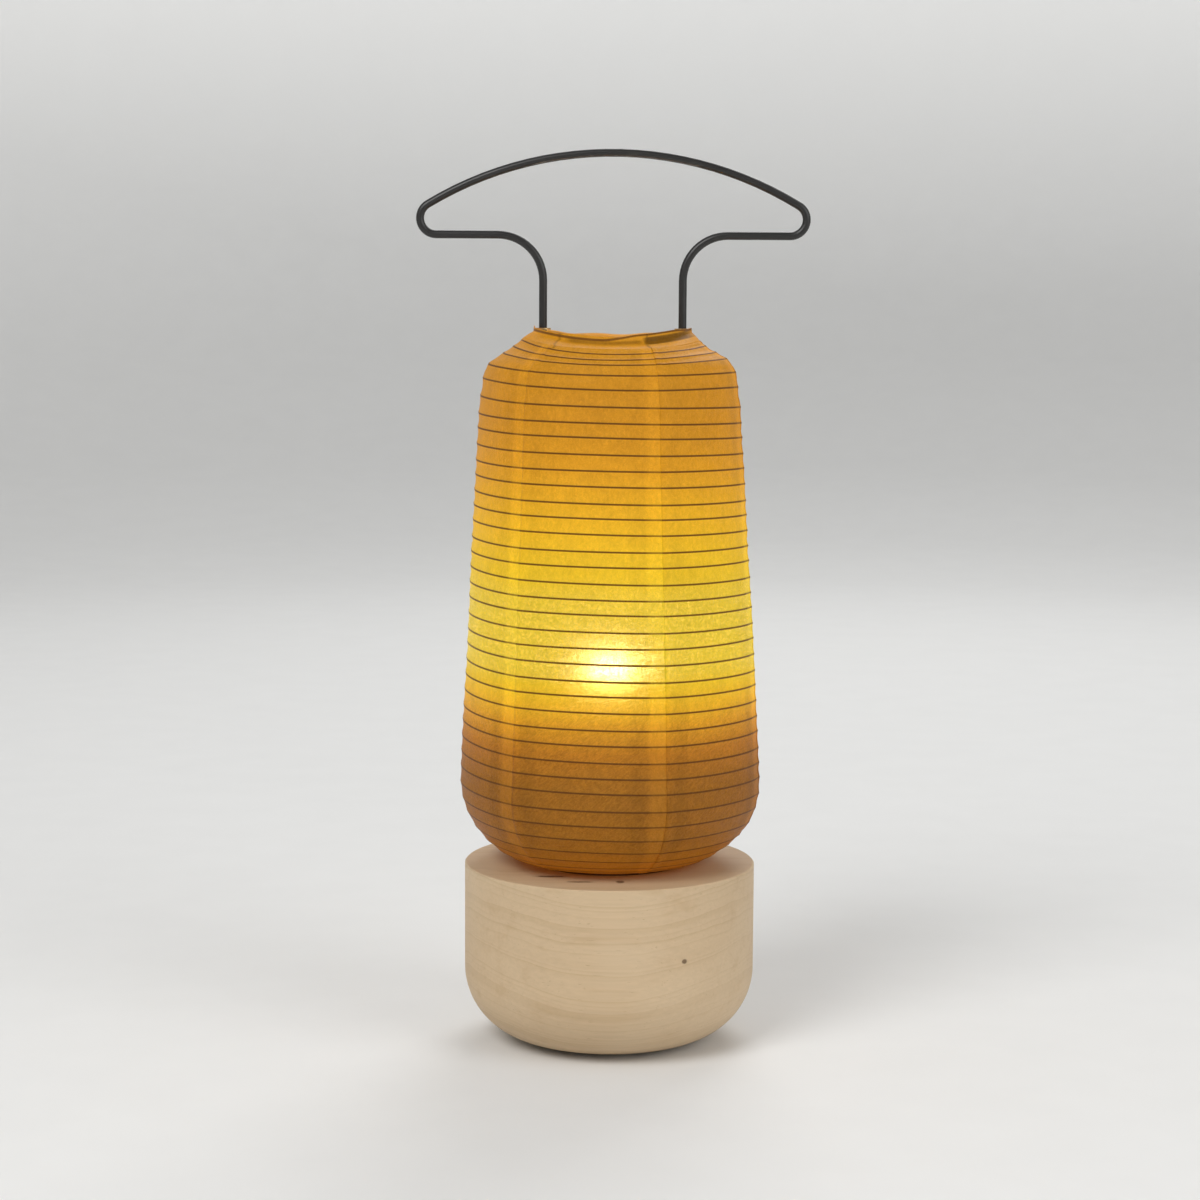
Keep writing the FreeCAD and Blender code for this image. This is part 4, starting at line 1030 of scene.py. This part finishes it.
# The floor in metres, and the steps of its sweep: how far each rises and how much wider it is
FLOOR_RADIUS = 1.7
SWEEP = ((0.02, 1.15), (0.06, 1.14), (0.13, 1.12), (0.24, 1.10), (0.42, 1.07), (1.6, 1.06))

# The lamps: what they are aimed at, then each one's place, width and power
AIM = (0.0, 0.0, 0.16)
LAMPS = {
    "key": ((-0.9, -1.3, 1.5), 1.1, 22.0),
    "fill": ((1.3, -1.0, 0.9), 1.3, 10.0),
    "back": ((0.3, 1.4, 1.5), 1.2, 13.0),
}
AIR_STRENGTH = 0.32

# The camera: lens in millimetres, place in metres, and how far it looks down, rolls and turns
LENS = 81.4
CAMERA_PLACE = (0.0, -1.01706, 0.2814)
CAMERA_DOWN = 6.38
CAMERA_ROLL = -0.32
CAMERA_TURN = 0.27


def make_stage():
    """A pale round floor that sweeps up all round, far outside the camera."""
    bpy.ops.object.select_all(action="DESELECT")
    bpy.ops.mesh.primitive_circle_add(vertices=96, radius=FLOOR_RADIUS, fill_type="NGON")
    floor = bpy.context.object
    floor.name = "studio_floor"
    bpy.ops.object.mode_set(mode="EDIT")
    bpy.ops.mesh.select_all(action="SELECT")
    for rise, out in SWEEP:
        bpy.ops.mesh.select_mode(type="EDGE")
        bpy.ops.mesh.region_to_loop()
        bpy.ops.mesh.extrude_edges_move(TRANSFORM_OT_translate={"value": (0, 0, rise)})
        bpy.ops.transform.resize(value=(out, out, 1.0))
        bpy.ops.mesh.select_all(action="SELECT")
    bpy.ops.object.mode_set(mode="OBJECT")
    bpy.ops.object.shade_smooth()
    finish = Finish("studio_paper")
    place = finish.where()
    speck = finish.noise(place, 30.0, 2.0, 0.5)
    seen = finish.node("LightPath", output="Is Camera Ray")
    height = finish.span(finish.parts(place)[2], 0.0, 1.1)
    dark = (0.0, 0.0, 0.0)
    floor.data.materials.append(finish.surface(
        Base_Color=finish.mix((0.80, 0.80, 0.79), (0.83, 0.83, 0.82), speck),
        Roughness=0.85,
        Specular=0.2,
        Emission_Color=finish.mix(dark, (0.42, 0.42, 0.415), seen * height),
        Emission_Strength=1.0,
    ))


def make_lamp(name, place, size, power):
    """A round soft lamp, aimed at the middle of the andon."""
    lamp = bpy.data.lights.new(name, "AREA")
    lamp.shape = "DISK"
    lamp.size = size
    lamp.energy = power
    holder = bpy.data.objects.new(name, lamp)
    bpy.context.collection.objects.link(holder)
    way = Vector(AIM) - Vector(place)
    turn = way.to_track_quat("-Z", "Y").to_matrix().to_4x4()
    holder.matrix_world = Matrix.Translation(place) @ turn


def make_camera():
    """The photograph's view: level with the handle, looking a little down."""
    data = bpy.data.cameras.new("photo_view")
    data.sensor_width = 36.0
    data.lens = LENS
    data.clip_start = 0.05
    camera = bpy.data.objects.new("photo_view", data)
    bpy.context.collection.objects.link(camera)
    camera.location = CAMERA_PLACE
    turns = (90 - CAMERA_DOWN, CAMERA_ROLL, CAMERA_TURN)
    camera.rotation_euler = [math.radians(turn) for turn in turns]
    bpy.context.scene.camera = camera


make_stage()
for name, (place, size, power) in LAMPS.items():
    make_lamp(name, place, size, power)
world = bpy.data.worlds.new("studio_air")
bpy.context.scene.world = world
world.use_nodes = True
air = world.node_tree.nodes["Background"].inputs
air["Color"].default_value = (1.0, 1.0, 1.0, 1.0)
air["Strength"].default_value = AIR_STRENGTH
make_camera()
bpy.context.scene.view_settings.view_transform = "Standard"

for part in frame["record"]["subparts"]:
    node = frame["nodes"][part["node"]]
    for slot in node.material_slots:
        slot.material = finishes[part["material_slot"]]
